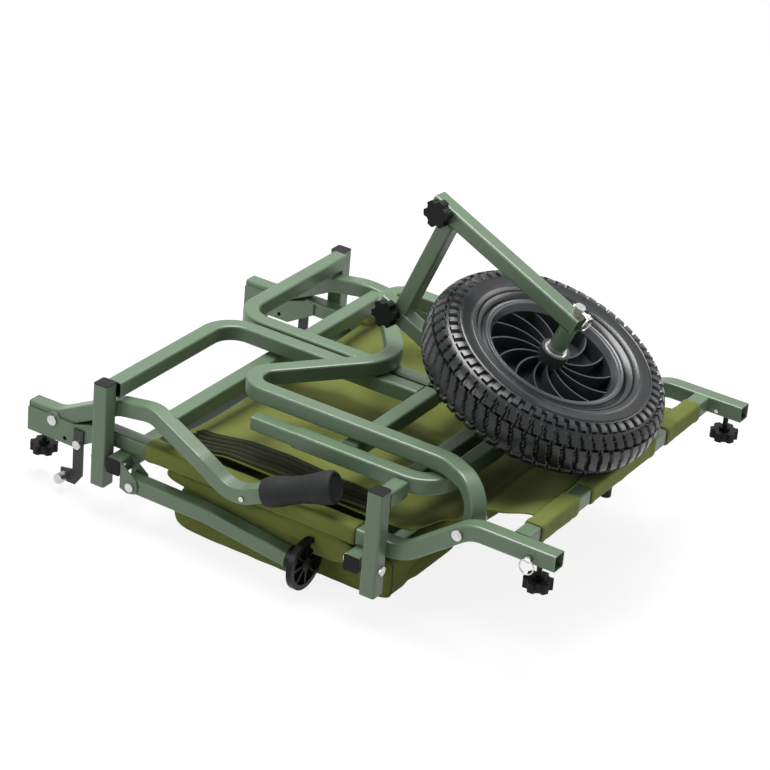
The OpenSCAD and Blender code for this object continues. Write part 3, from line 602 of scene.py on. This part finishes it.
@dataclass
class Wheel:
    """The tyre with its tread, and the rolled lips of the rim."""

    dresser: Dresser
    centre: Point = (0.249, 0.0, 0.298)
    tilt: float = math.radians(21.5)
    yaw: float = math.radians(5.5)
    radius: float = 0.184
    half: float = 0.046
    bead: float = 0.110
    rim_half: float = 0.036
    wall: float = 0.0395
    crown_drop: float = 0.0018
    crown_round: float = 0.82
    crown_steps: int = 30
    blocks: int = 58
    block_steps: int = 8
    # Where the tread's bands end, from the middle out, as shares of half its width.
    middle: float = 0.235
    inner_groove: float = 0.30
    block_band: float = 0.62
    outer_groove: float = 0.70
    shoulder: float = 0.97
    # Slant and width of the cuts in each band, in blocks.
    middle_cut: tuple[float, float] = (1.6, 0.26)
    block_cut: tuple[float, float] = (0.9, 0.30)
    shoulder_cut: tuple[float, float] = (0.25, 0.36)
    depth: float = 0.0045
    core: float = 0.03
    squash: float = 1.15
    lip_steps: int = 144
    lip_outline: tuple[tuple[float, float], ...] = (
        (0.0932, 0.0284), (0.0960, 0.0325), (0.0988, 0.0366), (0.0996, 0.0376), (0.1008, 0.0382),
        (0.1022, 0.0378), (0.1036, 0.0374), (0.1050, 0.0382), (0.1064, 0.0388), (0.1076, 0.0380),
        (0.1082, 0.0362), (0.1070, 0.0350), (0.1050, 0.0346), (0.0995, 0.0346), (0.0942, 0.0280))

    def place(self) -> Matrix:
        """Finds where the wheel lies.

        Returns:
            The transform from the wheel's own axes to the trolley's.
        """
        return (Matrix.Translation(self.centre) @ Matrix.Rotation(self.tilt, 4, "Y")
                @ Matrix.Rotation(-self.yaw, 4, "Z"))

    def profile(self) -> list[Point]:
        """Lists the tyre's section from one bead over the crown to the other.

        Returns:
            Radius, height and place across the tread from -1 to 1, or beyond on the walls.
        """
        b, r, h, e, w = self.bead, self.radius, self.half, self.rim_half, self.wall
        wall = [(b - 0.013, e - 0.012), (b - 0.002, e - 0.007), (b + 0.001, e - 0.001),
                (b + 0.006, e + 0.0035), (b + 0.010, e + 0.0052), (b + 0.0115, e + 0.0038),
                (b + 0.013, e + 0.0062), (b + 0.0185, h - 0.0026), (b + 0.0200, h - 0.0014),
                (b + 0.0215, h - 0.0020), (b + 0.030, h - 0.0006), (b + 0.0355, h - 0.0002),
                (b + 0.0370, h - 0.0022), (b + 0.0385, h - 0.0026), (b + w, h - self.crown_drop)]
        crown = []
        for i in range(self.crown_steps + 1):
            s = i / self.crown_steps
            a = s * math.pi / 2
            rr = b + w + (r - b - w) * math.sin(a)
            hh = (h - self.crown_drop) * math.cos(a) ** self.crown_round if s < 1 else 0.0
            crown.append((rr, hh, 1.0 - s))
        upper = [(p[0], p[1], 1.0 + 0.1 * (len(wall) - i)) for i, p in enumerate(wall)] + crown
        lower = [(p[0], -p[1], -p[2]) for p in reversed(upper[:-1])]
        return upper + lower

    def tread(self, across: float, turn: float) -> float:
        """Says how deep the tread is cut at a place.

        Args:
            across: Place across the tread, from -1 to 1.
            turn: Place round the tyre, in blocks.

        Returns:
            Depth of the groove, from 0 to 1.
        """
        a = abs(across)
        if a >= self.shoulder:
            return 0.0
        if self.middle < a <= self.inner_groove or self.block_band < a <= self.outer_groove:
            return 1.0
        skew = turn + (0.5 if across > 0 else 0.0)
        if a > self.outer_groove:
            slant, gap = self.shoulder_cut
            cell = skew + slant * (a - self.outer_groove)
        elif a > self.inner_groove:
            slant, gap = self.block_cut
            cell = skew + 0.5 + slant * (a - self.inner_groove)
        else:
            slant, gap = self.middle_cut
            cell = turn + slant * across
        return 1.0 if cell % 1.0 < gap else 0.0

    def tyre(self) -> Object:
        """Builds the tyre.

        Returns:
            The tyre's object.
        """
        steps = self.blocks * self.block_steps
        profile = self.profile()
        points, place = [], self.place()
        for i in range(steps):
            c, s = spoke(i, steps)
            for r, h, across in profile:
                cut = self.tread(across, i * self.blocks / steps) * self.depth
                normal = Vector((r - self.bead - self.core, h * self.squash))
                normal.normalize()
                rr, hh = r - cut * normal.x, h - cut * normal.y
                points.append(tuple(place @ Vector((rr * c, rr * s, hh))))
        faces = rows_to_faces(steps, len(profile), loop_rows=True, loop_columns=True)
        made = mesh_object("tyre_tread", points, faces)
        made.data.set_sharp_from_angle(angle=TREAD_SHARP)
        return made

    def lip(self, side: Side) -> Object:
        """Builds the rolled lip and the inner slope of the rim on one face.

        Args:
            side: Which face of the wheel.

        Returns:
            The lip.
        """
        steps, outline, place, points = self.lip_steps, self.lip_outline, self.place(), []
        for i in range(steps):
            c, s = spoke(i, steps)
            points += [tuple(place @ Vector((r * c, r * s, side.value * h))) for r, h in outline]
        faces = rows_to_faces(steps, len(outline), loop_rows=True, loop_columns=True)
        return mesh_object("rim_lip", points, flipped(faces) if side is Side.NEAR else faces)

    def build(self) -> None:
        """Builds and rides the wheel's pieces."""
        tyre = self.dresser.dress(self.tyre(), Material.TYRE)
        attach(tyre, "wheel")
        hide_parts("tyre")
        lips = self.dresser.dress(joined("rim_lips", [self.lip(s) for s in Side]), Material.BLACK_PAINT, RIM)
        lips.data.set_sharp_from_angle(angle=EDGE_SHARP)
        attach(lips, "wheel")
        LOG.info("tyre: %d faces", len(tyre.data.polygons))


@dataclass
class TubeSleeve:
    """A sleeve of cloth round a square tube, with hems at its ends and small creases."""

    name: str
    start: Point
    end: Point
    half: float = 0.0136
    slack: float = 0.0004
    puff: float = 0.0012
    hem: float = 0.0009
    hem_end: tuple[float, float] = (0.011, 0.013)
    inner: float = 0.955
    columns: int = 40
    step: float = 0.004
    power: int = 7
    crease_scale: float = 55.0
    fine_scale: float = 120.0
    fine_share: float = 0.6
    crease_end: float = 0.02
    seed: float = 0.0

    def build(self) -> Object:
        """Builds the sleeve.

        Returns:
            The sleeve's object.
        """
        a, b = Vector(self.start), Vector(self.end)
        way = (b - a).normalized()
        up = Vector((0.0, 0.0, 1.0))
        across = way.cross(up).normalized()
        length = (b - a).length
        columns, size = self.columns, self.half + self.slack
        spokes = [spoke(i, columns) for i in range(columns)]
        section = [(size * k * c, size * k * s) for c, s in spokes for k in (squared(c, s, self.power),)]
        outer: list[Point] = []
        count = max(30, int(length / self.step))
        for i in range(count + 1):
            t = i / count
            at = a + way * length * t
            edge = min(t, 1.0 - t) * length
            hem = self.hem * smoothstep(0.0, 0.001, edge) * (1.0 - smoothstep(*self.hem_end, edge))
            for x, z in section:
                r = Vector((x, z)).length
                crease = ripple(at.x + x, at.y, at.z + z, self.crease_scale, self.seed)
                crease += self.fine_share * ripple(at.x, at.y, z, self.fine_scale, self.seed)
                grow = hem + self.puff * max(0.0, crease) * smoothstep(0.0, self.crease_end, edge)
                outer.append(tuple(at + across * x * (1 + grow / r) + up * z * (1 + grow / r)))
        inner = []
        for i in range(count + 1):
            at = a + way * length * i / count
            inner += [tuple(at + across * x * self.inner + up * z * self.inner) for x, z in section]
        start, end = len(outer), count * columns
        grid = rows_to_faces(count + 1, columns, loop_columns=True)
        faces = flipped(grid) + [[start + k for k in f] for f in grid]
        for j in range(columns):
            k = (j + 1) % columns
            faces.append([j, k, start + k, start + j])
            faces.append([end + k, end + j, start + end + j, start + end + k])
        return mesh_object(self.name, outer + inner, faces)


@dataclass
class BedCloth:
    """The cloth bed between the rails, which climbs the ramp to the front tube."""

    dresser: Dresser
    rail: float = 0.2640
    front: float = 0.3665
    back: float = -0.2200
    thickness: float = 0.0022
    along: int = 96
    across: int = 84
    ramp: float = 0.0605
    ramp_x: tuple[float, float] = (0.205, 0.232)
    sag: float = 0.006
    sag_end: tuple[float, float] = (0.19, 0.26)
    crease: float = 0.0040
    fine_crease: float = 0.0022
    pull_crease: float = 0.0030
    seam_inset: float = 0.006
    seam_end: float = 0.004
    seam_lift: float = 0.0004
    seam_half: float = 0.0030
    seam_rise: float = 0.0012
    seams: tuple[float, ...] = (-0.205, -0.07, 0.07, 0.205)
    strip_x: float = -0.195
    strip_y: float = -0.262
    strip_length: float = 0.335
    strip_width: float = 0.058
    strip_edge: float = -0.2625
    heights: tuple[tuple[float, float], ...] = (
        (-0.220, 0.112), (-0.180, 0.122), (-0.100, 0.134), (0.020, 0.133), (0.150, 0.131), (0.230, 0.135),
        (0.300, 0.176), (0.3665, 0.193))

    def half_width(self, x: float) -> float:
        """Finds half the bed's width, which is narrower between the rack's feet.

        Args:
            x: Place along the trolley.

        Returns:
            Half the width.
        """
        return self.rail - self.ramp * smoothstep(*self.ramp_x, x)

    def height(self, x: float, y: float) -> float:
        """Finds the cloth's height, with its sag and creases.

        Args:
            x: Place along the trolley.
            y: Place across it.

        Returns:
            The height of its upper side.
        """
        w = y / self.half_width(x)
        edge = 1.0 - w * w
        sag = self.sag * edge * (1.0 - smoothstep(*self.sag_end, x))
        crease = self.crease * ripple(x * 0.7, y * 1.5, 0.0, 9.0, 3.1)
        crease += self.fine_crease * ripple(x, y, 0.0, 24.0, 1.3)
        diagonal = self.pull_crease * abs(ripple(x + 0.6 * y, y - 0.2 * x, 0.0, 13.0, 6.0))
        base = piecewise(self.heights, x)
        return base - sag + (crease - diagonal) * edge ** 0.5

    def build(self) -> None:
        """Builds the cloth, its seams and the mesh strip."""
        rows: list[list[Point]] = []
        nx, ny = self.along, self.across
        for i in range(nx + 1):
            x = self.back + (self.front - self.back) * i / nx
            half = self.half_width(x)
            rows.append([(x, -half + 2.0 * half * j / ny, self.height(x, -half + 2.0 * half * j / ny))
                         for j in range(ny + 1)])
        bed = self.dresser.dress(cloth_sheet("bed_cloth_top", rows, self.thickness), Material.CLOTH)
        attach(bed, "frame")
        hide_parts("bed_cloth")
        seams = [self.seam("bed_seam_%d" % k, y) for k, y in enumerate(self.seams)]
        seam = self.dresser.dress(joined("bed_seams", seams), Material.CLOTH, BINDING)
        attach(seam, "frame")
        panel = self.dresser.dress(self.panel(), Material.CLOTH, MESH_CLOTH)
        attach(panel, "frame")
        LOG.info("bed cloth: %d faces", len(bed.data.polygons))

    def seam(self, name: str, y: float) -> Object:
        """Builds a raised seam along the bed.

        Args:
            name: Name of the piece.
            y: Place across the bed.

        Returns:
            The seam.
        """
        points = []
        count, sides = 120, 8
        for i in range(count + 1):
            x = self.back + self.seam_end + (self.front - self.back - 2 * self.seam_end) * i / count
            reach = self.half_width(x) - self.seam_inset
            yy = max(-reach, min(reach, y))
            z = self.height(x, yy) + self.seam_lift
            for j in range(sides):
                c, s = spoke(j, sides)
                points.append((x, yy + self.seam_half * c, z + self.seam_rise * s))
        faces = rows_to_faces(count + 1, sides, loop_columns=True)
        faces += [list(range(sides)), [count * sides + sides - 1 - j for j in range(sides)]]
        return mesh_object(name, points, faces)

    def panel(self) -> Object:
        """Builds the dark mesh strip that lies on the bed by the near rail.

        Returns:
            The strip.
        """
        rows = []
        nx, ny = 110, 60
        for i in range(nx + 1):
            x = self.strip_x + self.strip_length * i / nx
            row = []
            for j in range(ny + 1):
                y = self.strip_y + self.strip_width * j / ny + 0.003 * ripple(x, 0.0, 0.0, 7.0, 4.0)
                pleat = 0.0034 * math.sin(2.0 * math.pi * j / 12.0 + 1.2 * ripple(x, y, 0.0, 6.0, 8.0))
                rise = 0.0058 + 0.004 * ripple(x, 0.5 * y, 0.0, 12.0, 2.0)
                row.append((x, max(self.strip_edge, y), self.height(x, y) + rise + pleat))
            rows.append(row)
        return cloth_sheet("mesh_strip", rows, 0.0009)


@dataclass
class Bag:
    """The soft bag folded under the bed: a sagging shell with sewn edges, and a rolled flap on each side.

    It stays inside the folded legs, and from foot_x on inside the gates' posts, so that both can swing.
    """

    dresser: Dresser
    x0: float = -0.176
    x1: float = 0.180
    foot_x: float = 0.066
    dent: float = 0.030
    foot_gap: float = 0.010
    tube_x: float = 0.118
    tube_slope: float = 0.016
    tube_top: float = 0.0695
    wide: float = 0.288
    narrow: float = 0.262
    top: float = 0.099
    side_top: float = 0.085
    side_fall: tuple[float, float] = (0.225, 0.262)
    corner: float = 0.014
    bulge: float = 0.016
    bulge_top: float = 0.066
    side_band: tuple[float, float] = (0.90, 0.99)
    end_band: tuple[float, float] = (0.80, 1.0)
    lining: float = 0.0005
    slack: float = 0.0020
    swell: float = 0.0040
    fold: float = 0.0150
    fold_width: float = 0.28
    ruck: float = 0.0017
    end_fold: float = 0.0120
    top_fold: float = 0.0050
    pull: float = 0.011
    # Where the side is pulled in: place along and its spread, height and its spread.
    pulls: tuple[tuple[float, ...], ...] = ((-0.115, 0.05, 0.078, 0.02), (0.02, 0.03, 0.075, 0.018))
    around: int = 132
    across: int = 150
    cap_rings: int = 12
    power: int = 8
    piping_at: float = 0.955
    piping_half: float = 0.0016
    piping_steps: int = 200
    seed: float = 1.0
    flap_x: float = -0.200
    flap_length: float = 0.330
    flap_y: float = 0.2765
    flap_half: float = 0.0120
    flap_limit: float = 0.2895
    flap_top: float = 0.0945

    def half_width(self, x: float) -> float:
        """Finds half the bag's width, which is narrower from the mud feet on, where the gates' posts swing.

        Args:
            x: Place along the trolley.

        Returns:
            Half the width.
        """
        press = smoothstep(self.foot_x - self.dent, self.foot_x - self.foot_gap, x)
        return self.wide - (self.wide - self.narrow) * press

    def height(self, x: float, y: float) -> float:
        """Finds the bag's height, which is lower at its sides and under the lower front tube.

        Args:
            x: Place along the trolley.
            y: Place across it.

        Returns:
            The height.
        """
        side = self.top - (self.top - self.side_top) * smoothstep(*self.side_fall, abs(y))
        return side - (side - self.tube_top) * smoothstep(self.tube_x, self.tube_x + self.tube_slope, x)

    def section(self, u: float, v: float) -> Point:
        """Finds a point of the plain shell.

        Args:
            u: Turn round the section along the trolley, from 0 to 1.
            v: Place across the bag, from -1 to 1.

        Returns:
            The point.
        """
        a = 2.0 * math.pi * u
        c, s = math.cos(a), math.sin(a)
        k = squared(c, s, self.power)
        mid, reach = (self.x0 + self.x1) / 2, (self.x1 - self.x0) / 2
        x = mid + reach * k * c
        left = max(0.0, (1.0 - abs(v)) * self.half_width(x))
        t = max(0.0, 1.0 - left / self.corner)
        inset = self.corner * (1.0 - math.sqrt(max(0.0, 1.0 - t * t)))
        x = mid + (reach - inset) * k * c
        height = self.height(x, v * self.wide)
        z = height / 2 + (height / 2 - inset) * k * s
        return x, v * self.half_width(x), z

    def softened(self, point: Point, v: float) -> Point:
        """Adds the bulge, folds and rucks to a point, and keeps it above the ground.

        Args:
            point: The point on the plain shell.
            v: Place across the bag, from -1 to 1.

        Returns:
            The moved point.
        """
        x, y, z = point
        side = smoothstep(*self.side_band, abs(v))
        broad = ripple(x, 0.5 * y, z, 8.0, self.seed)
        cross = abs(ripple(x + 0.9 * z, y, 1.3 * z - 0.5 * x, 15.0, self.seed + 4.0))
        fine = ripple(x, y, 2.2 * z, 34.0, self.seed + 9.0)
        pull = sum(math.exp(-((x - at) / wide) ** 2 - ((z - up) / tall) ** 2)
                   for at, wide, up, tall in self.pulls)
        fold = self.fold * max(0.0, self.fold_width - cross)
        lower = smoothstep(0.002, 0.03, z)
        inward = self.lining + lower * (self.slack + self.swell * broad + fold + self.pull * pull)
        inward += self.ruck * fine
        y -= math.copysign(max(0.0, inward) * side, v)
        end = smoothstep(*self.end_band, abs(2 * x - self.x0 - self.x1) / (self.x1 - self.x0))
        pinch = end * (0.003 + 0.004 * broad + self.end_fold * max(0.0, 0.25 - cross))
        x -= math.copysign(pinch, x - (self.x0 + self.x1) / 2)
        rear = 1.0 - smoothstep(self.x0, self.x0 + 0.10, x)
        rise = math.sin(math.pi * min(1.0, max(0.0, z / self.bulge_top)) ** 0.6)
        x -= self.bulge * rear * rise * (1.0 - 0.4 * side)
        if z > 0.02:
            sunk = 0.0030 * abs(broad) + self.top_fold * max(0.0, 0.25 - cross)
            z -= sunk * smoothstep(0.02, 0.08, z)
        return x, y, max(0.0008, z)

    def shell(self) -> Object:
        """Builds the bag's shell.

        Returns:
            The shell.
        """
        around, steps, rings = self.around, self.across, self.cap_rings
        points: list[Point] = []
        for i in range(steps + 1):
            v = math.sin(math.pi / 2 * (-1.0 + 2.0 * i / steps))
            v = math.copysign(abs(v) ** 0.8, v)
            points += [self.softened(self.section(j / around, v), v) for j in range(around)]
        faces = flipped(rows_to_faces(steps + 1, around, loop_columns=True))
        for row, v in ((0, -1.0), (steps, 1.0)):
            last = row * around
            ring = points[last:last + around]
            centre = tuple(sum(p[k] for p in ring) / around for k in range(3))
            cap: list[list[int]] = []
            for t in (r / rings for r in range(1, rings)):
                start = len(points)
                for p in ring:
                    x, z = (p[k] + (centre[k] - p[k]) * t for k in (0, 2))
                    points.append((x, self.softened((x, v * self.half_width(x), z), v)[1], z))
                cap += [[last + j, last + (j + 1) % around, start + (j + 1) % around, start + j]
                        for j in range(around)]
                last = start
            cap += [[last + j, last + (j + 1) % around, len(points)] for j in range(around)]
            points.append(centre)
            faces += flipped(cap) if v > 0 else cap
        return mesh_object("bag_cloth", points, faces)

    def piping(self, v: float) -> Object:
        """Builds the sewn edge that runs round the bag.

        Args:
            v: Place across the bag, from -1 to 1.

        Returns:
            The edge.
        """
        around, sides, radius = self.piping_steps, 8, self.piping_half
        line = [Vector(self.softened(self.section(i / around, v), v)) for i in range(around)]
        middle = sum(line, Vector()) / around
        points = []
        for at in line:
            out = (at - middle) * Vector((1.0, 0.0, 1.0))
            out.normalize()
            along = Vector((0.0, math.copysign(1.0, v), 0.0))
            for j in range(sides):
                c, s = spoke(j, sides)
                place = at + out * (radius * c) + along * (radius * s)
                points.append((place.x, place.y, max(0.0002, place.z)))
        return mesh_object("piping", points, rows_to_faces(around, sides, loop_rows=True, loop_columns=True))

    def flap(self, side: Side) -> Object:
        """Builds the rolled flap that hangs between a side sleeve and the bag.

        Args:
            side: Which side of the trolley.

        Returns:
            The flap.
        """
        count, around = 110, 40
        points = []
        for i in range(count + 1):
            t = i / count
            x = self.flap_x + self.flap_length * t
            size = math.sqrt(max(0.0, 1.0 - (2.0 * abs(t - 0.5)) ** 10))
            depth = 0.010 + 0.013 * smoothstep(0.0, 0.75, t)
            for j in range(around):
                c, s = spoke(j, around)
                k = squared(c, s, 3)
                ruck = 1.0 + 0.10 * ripple(x, c, s, 4.0, 7.0) + 0.10 * ripple(3.0 * x, 0.4 * c, s, 12.0, 2.0)
                y = self.flap_y + self.flap_half * size * k * c * min(1.15, ruck)
                z = self.flap_top - depth + depth * size * k * s * min(1.0, ruck)
                points.append((x, side.value * min(self.flap_limit, y), z))
        faces = rows_to_faces(count + 1, around, loop_columns=True)
        faces += [list(reversed(range(around))), [count * around + j for j in range(around)]]
        return mesh_object("flap", points, flipped(faces) if side is Side.NEAR else faces)

    def build(self) -> None:
        """Builds the bag with its flaps and sewn edges."""
        bag = self.dresser.dress(self.shell(), Material.CLOTH)
        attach(bag, "frame")
        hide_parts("bag")
        lines = [self.piping(v) for v in (-self.piping_at, self.piping_at)]
        edges = self.dresser.dress(joined("bag_piping", lines), Material.CLOTH, BINDING)
        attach(edges, "frame")
        flaps = self.dresser.dress(joined("bag_flaps", [self.flap(s) for s in Side]), Material.CLOTH)
        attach(flaps, "frame")
        LOG.info("bag: %d faces", len(bag.data.polygons))


@dataclass
class Grips:
    """The two foam grips on the handles: a swollen start, a waist and a thicker end."""

    dresser: Dresser
    start: Point = (-0.016, 0.311, 0.132)
    way: Point = (0.114, -0.021, 0.0435)
    offset: float = 0.009
    around: int = 72
    outline: tuple[tuple[float, float], ...] = (
        (0.0, 0.0178), (0.0012, 0.0195), (0.004, 0.0205), (0.014, 0.0222), (0.026, 0.0222), (0.045, 0.0200),
        (0.060, 0.0198), (0.076, 0.0212), (0.094, 0.0238), (0.106, 0.0243), (0.111, 0.0238), (0.1135, 0.0222),
        (0.1144, 0.0205), (0.1141, 0.0180), (0.1132, 0.0170), (0.1130, 0.0150))

    def grip(self, side: Side) -> Object:
        """Builds one grip.

        Args:
            side: Which side of the trolley.

        Returns:
            The grip.
        """
        way = Vector((self.way[0], side.value * self.way[1], self.way[2])).normalized()
        first = Vector((self.start[0], side.value * self.start[1], self.start[2])) + way * self.offset
        across = way.cross(Vector((0.0, 0.0, 1.0))).normalized()
        up = across.cross(way)
        around = self.around
        rows = []
        for (d0, r0), (d1, r1) in zip(self.outline, self.outline[1:]):
            steps = 6 if abs(d1 - d0) > 0.004 else 1
            for k in range(steps):
                rows.append((d0 + (d1 - d0) * k / steps, r0 + (r1 - r0) * smoothstep(0.0, 1.0, k / steps)))
        rows.append(self.outline[-1])
        points = []
        for d, r in rows:
            for j in range(around):
                c, s = spoke(j, around)
                points.append(tuple(first + way * d + across * (r * c) + up * (r * s)))
        faces = flipped(rows_to_faces(len(rows), around, loop_columns=True))
        last = (len(rows) - 1) * around
        faces += [list(range(around)), [last + around - 1 - j for j in range(around)]]
        return mesh_object("grip", points, faces)

    def build(self) -> None:
        """Builds both grips."""
        grips = self.dresser.dress(joined("foam_grips", [self.grip(s) for s in Side]), Material.GRIP)
        grips.data.set_sharp_from_angle(angle=EDGE_SHARP)
        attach(grips, "handles")
        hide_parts("grip_near", "grip_far")
        LOG.info("grips: %d faces", len(grips.data.polygons))


@dataclass
class Sleeves:
    """All the sleeves of cloth round the tubes."""

    dresser: Dresser
    rail_y: float = 0.278
    rail_z: float = 0.1095
    start: float = -0.2309
    end: float = 0.1351
    front_x: float = 0.3814
    front_z: float = 0.187
    spans: tuple[tuple[float, float], ...] = ((-0.235, -0.130), (-0.095, 0.095), (0.130, 0.235))

    def build(self) -> None:
        """Builds the side and front sleeves."""
        sides = [TubeSleeve("side_sleeve", (self.start, s.value * self.rail_y, self.rail_z),
                            (self.end, s.value * self.rail_y, self.rail_z), seed=2.0 + s.value).build()
                 for s in Side]
        side = self.dresser.dress(joined("side_sleeve_cloth", sides), Material.CLOTH)
        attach(side, "frame")
        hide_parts("side_sleeves")
        fronts = [TubeSleeve("front_sleeve", (self.front_x, a, self.front_z), (self.front_x, b, self.front_z),
                             seed=5.0 + a).build() for a, b in self.spans]
        front = self.dresser.dress(joined("front_sleeve_cloth", fronts), Material.CLOTH)
        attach(front, "frame")
        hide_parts("front_sleeves")
        LOG.info("sleeves: %d and %d faces", len(side.data.polygons), len(front.data.polygons))


@dataclass
class Studio:
    """Floor, light and the photograph's camera."""

    target: Point = (-0.006, 0.0, 0.122)
    seen_at: tuple[float, float] = (384.111, 422.063)
    azimuth: float = math.radians(30.545)
    elevation: float = math.radians(27.462)
    roll: float = math.radians(5.179)
    focal: float = 2818.94
    depth: float = 4.2115
    frame: float = 770.0
    sensor: float = 36.0
    reach: float = 30.0
    drop: float = 0.0005
    clip: float = 60.0
    floor_shade: float = 0.9
    floor_glow: float = 0.86
    sky: float = 0.36
    aim: Point = (0.0, 0.0, 0.12)
    lamps: tuple[tuple[str, Point, float, float], ...] = (
        ("top_light", (-0.3, 0.3, 2.6), 1.6, 112.0), ("key_light", (-1.2, -2.6, 1.6), 1.2, 26.0),
        ("rim_light", (1.6, 2.2, 1.8), 1.2, 24.0))

    def camera(self) -> None:
        """Places the camera where the photograph was taken from."""
        az, el, r = self.azimuth, self.elevation, self.roll
        forward = Vector((-math.sin(az) * math.cos(el), math.cos(az) * math.cos(el), -math.sin(el)))
        right = Vector((math.cos(az), math.sin(az), 0.0))
        up = right.cross(forward)
        x_axis = right * math.cos(r) + up * math.sin(r)
        y_axis = up * math.cos(r) - right * math.sin(r)
        half = self.frame / 2
        dx = (self.seen_at[0] - half) / self.focal * self.depth
        dy = -(self.seen_at[1] - half) / self.focal * self.depth
        at = Vector(self.target) - x_axis * dx - y_axis * dy - forward * self.depth
        data = bpy.data.cameras.new("camera")
        data.sensor_width = self.sensor
        data.lens = self.sensor * self.focal / self.frame
        data.clip_end = self.clip
        made = bpy.data.objects.new("camera", data)
        bpy.context.collection.objects.link(made)
        made.matrix_world = Matrix((
            (x_axis.x, y_axis.x, -forward.x, at.x), (x_axis.y, y_axis.y, -forward.y, at.y),
            (x_axis.z, y_axis.z, -forward.z, at.z), (0.0, 0.0, 0.0, 1.0)))
        bpy.context.scene.camera = made

    def lamp(self, name: str, at: Point, size: float, power: float) -> None:
        """Adds a soft lamp that points at the trolley.

        Args:
            name: Name of the lamp.
            at: Its place.
            size: Its width.
            power: Its power in watts.
        """
        data = bpy.data.lights.new(name, "AREA")
        data.size = size
        data.energy = power
        made = bpy.data.objects.new(name, data)
        bpy.context.collection.objects.link(made)
        made.location = at
        made.rotation_euler = (Vector(self.aim) - Vector(at)).to_track_quat("-Z", "Y").to_euler()

    @staticmethod
    def parted(tree: Tree, kind: str, light: Node, shown: Node, share: float) -> None:
        """Ends a tree with one shader that lights the trolley and one that the camera sees.

        Args:
            tree: The material's or the world's tree.
            kind: What the tree ends in, Material or World.
            light: The shader that lights.
            shown: The shader that is seen, straight, mirrored or through glass.
            share: How much of it is seen, from 0 to 1.
        """
        path = tree.nodes.new("ShaderNodeLightPath")
        seen = path.outputs["Is Camera Ray"]
        for name in ("Is Glossy Ray", "Is Transmission Ray"):
            seen = maths(tree, "MAXIMUM", seen, path.outputs[name])
        mix = tree.nodes.new("ShaderNodeMixShader")
        tree.links.new(maths(tree, "MULTIPLY", seen, share), mix.inputs[0])
        tree.links.new(light.outputs[0], mix.inputs[1])
        tree.links.new(shown.outputs[0], mix.inputs[2])
        tree.links.new(mix.outputs[0], tree.nodes.new("ShaderNodeOutput" + kind).inputs[0])

    def floor(self) -> None:
        """Lays a white floor that keeps a soft shadow."""
        around = ((-1, -1), (1, -1), (1, 1), (-1, 1))
        points = [(x * self.reach, y * self.reach, -self.drop) for x, y in around]
        floor = mesh_object("floor", points, [[0, 1, 2, 3]])
        made = bpy.data.materials.new("white_floor")
        made.use_nodes = True
        tree = made.node_tree
        tree.nodes.clear()
        plain, glow = tree.nodes.new("ShaderNodeBsdfDiffuse"), tree.nodes.new("ShaderNodeEmission")
        plain.inputs[0].default_value = (self.floor_shade, self.floor_shade, self.floor_shade, 1.0)
        self.parted(tree, "Material", plain, glow, self.floor_glow)
        floor.data.materials.append(made)

    def world(self) -> None:
        """Makes the surroundings white to the camera and soft grey as light."""
        world = bpy.data.worlds.new("studio")
        bpy.context.scene.world = world
        world.use_nodes = True
        tree = world.node_tree
        tree.nodes.clear()
        light, shown = tree.nodes.new("ShaderNodeBackground"), tree.nodes.new("ShaderNodeBackground")
        light.inputs[0].default_value = shown.inputs[0].default_value = (1.0, 1.0, 1.0, 1.0)
        light.inputs[1].default_value = self.sky
        self.parted(tree, "World", light, shown, 1.0)

    def build(self) -> None:
        """Sets up the whole studio."""
        self.camera()
        self.floor()
        self.world()
        for lamp in self.lamps:
            self.lamp(*lamp)
        bpy.context.scene.view_settings.view_transform = "Standard"


def main() -> None:
    """Builds every sub-assembly in order."""
    logging.basicConfig(level=logging.INFO, format="%(name)s: %(message)s")
    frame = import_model()
    dresser = Dresser(Effects())
    dresser.dress_nodes(frame)
    Studio().build()
    for assembly in (Wheel, BedCloth, Sleeves, Bag, Grips):
        assembly(dresser).build()
    LOG.info("all pieces are built")


if __name__ == "__main__":
    main()
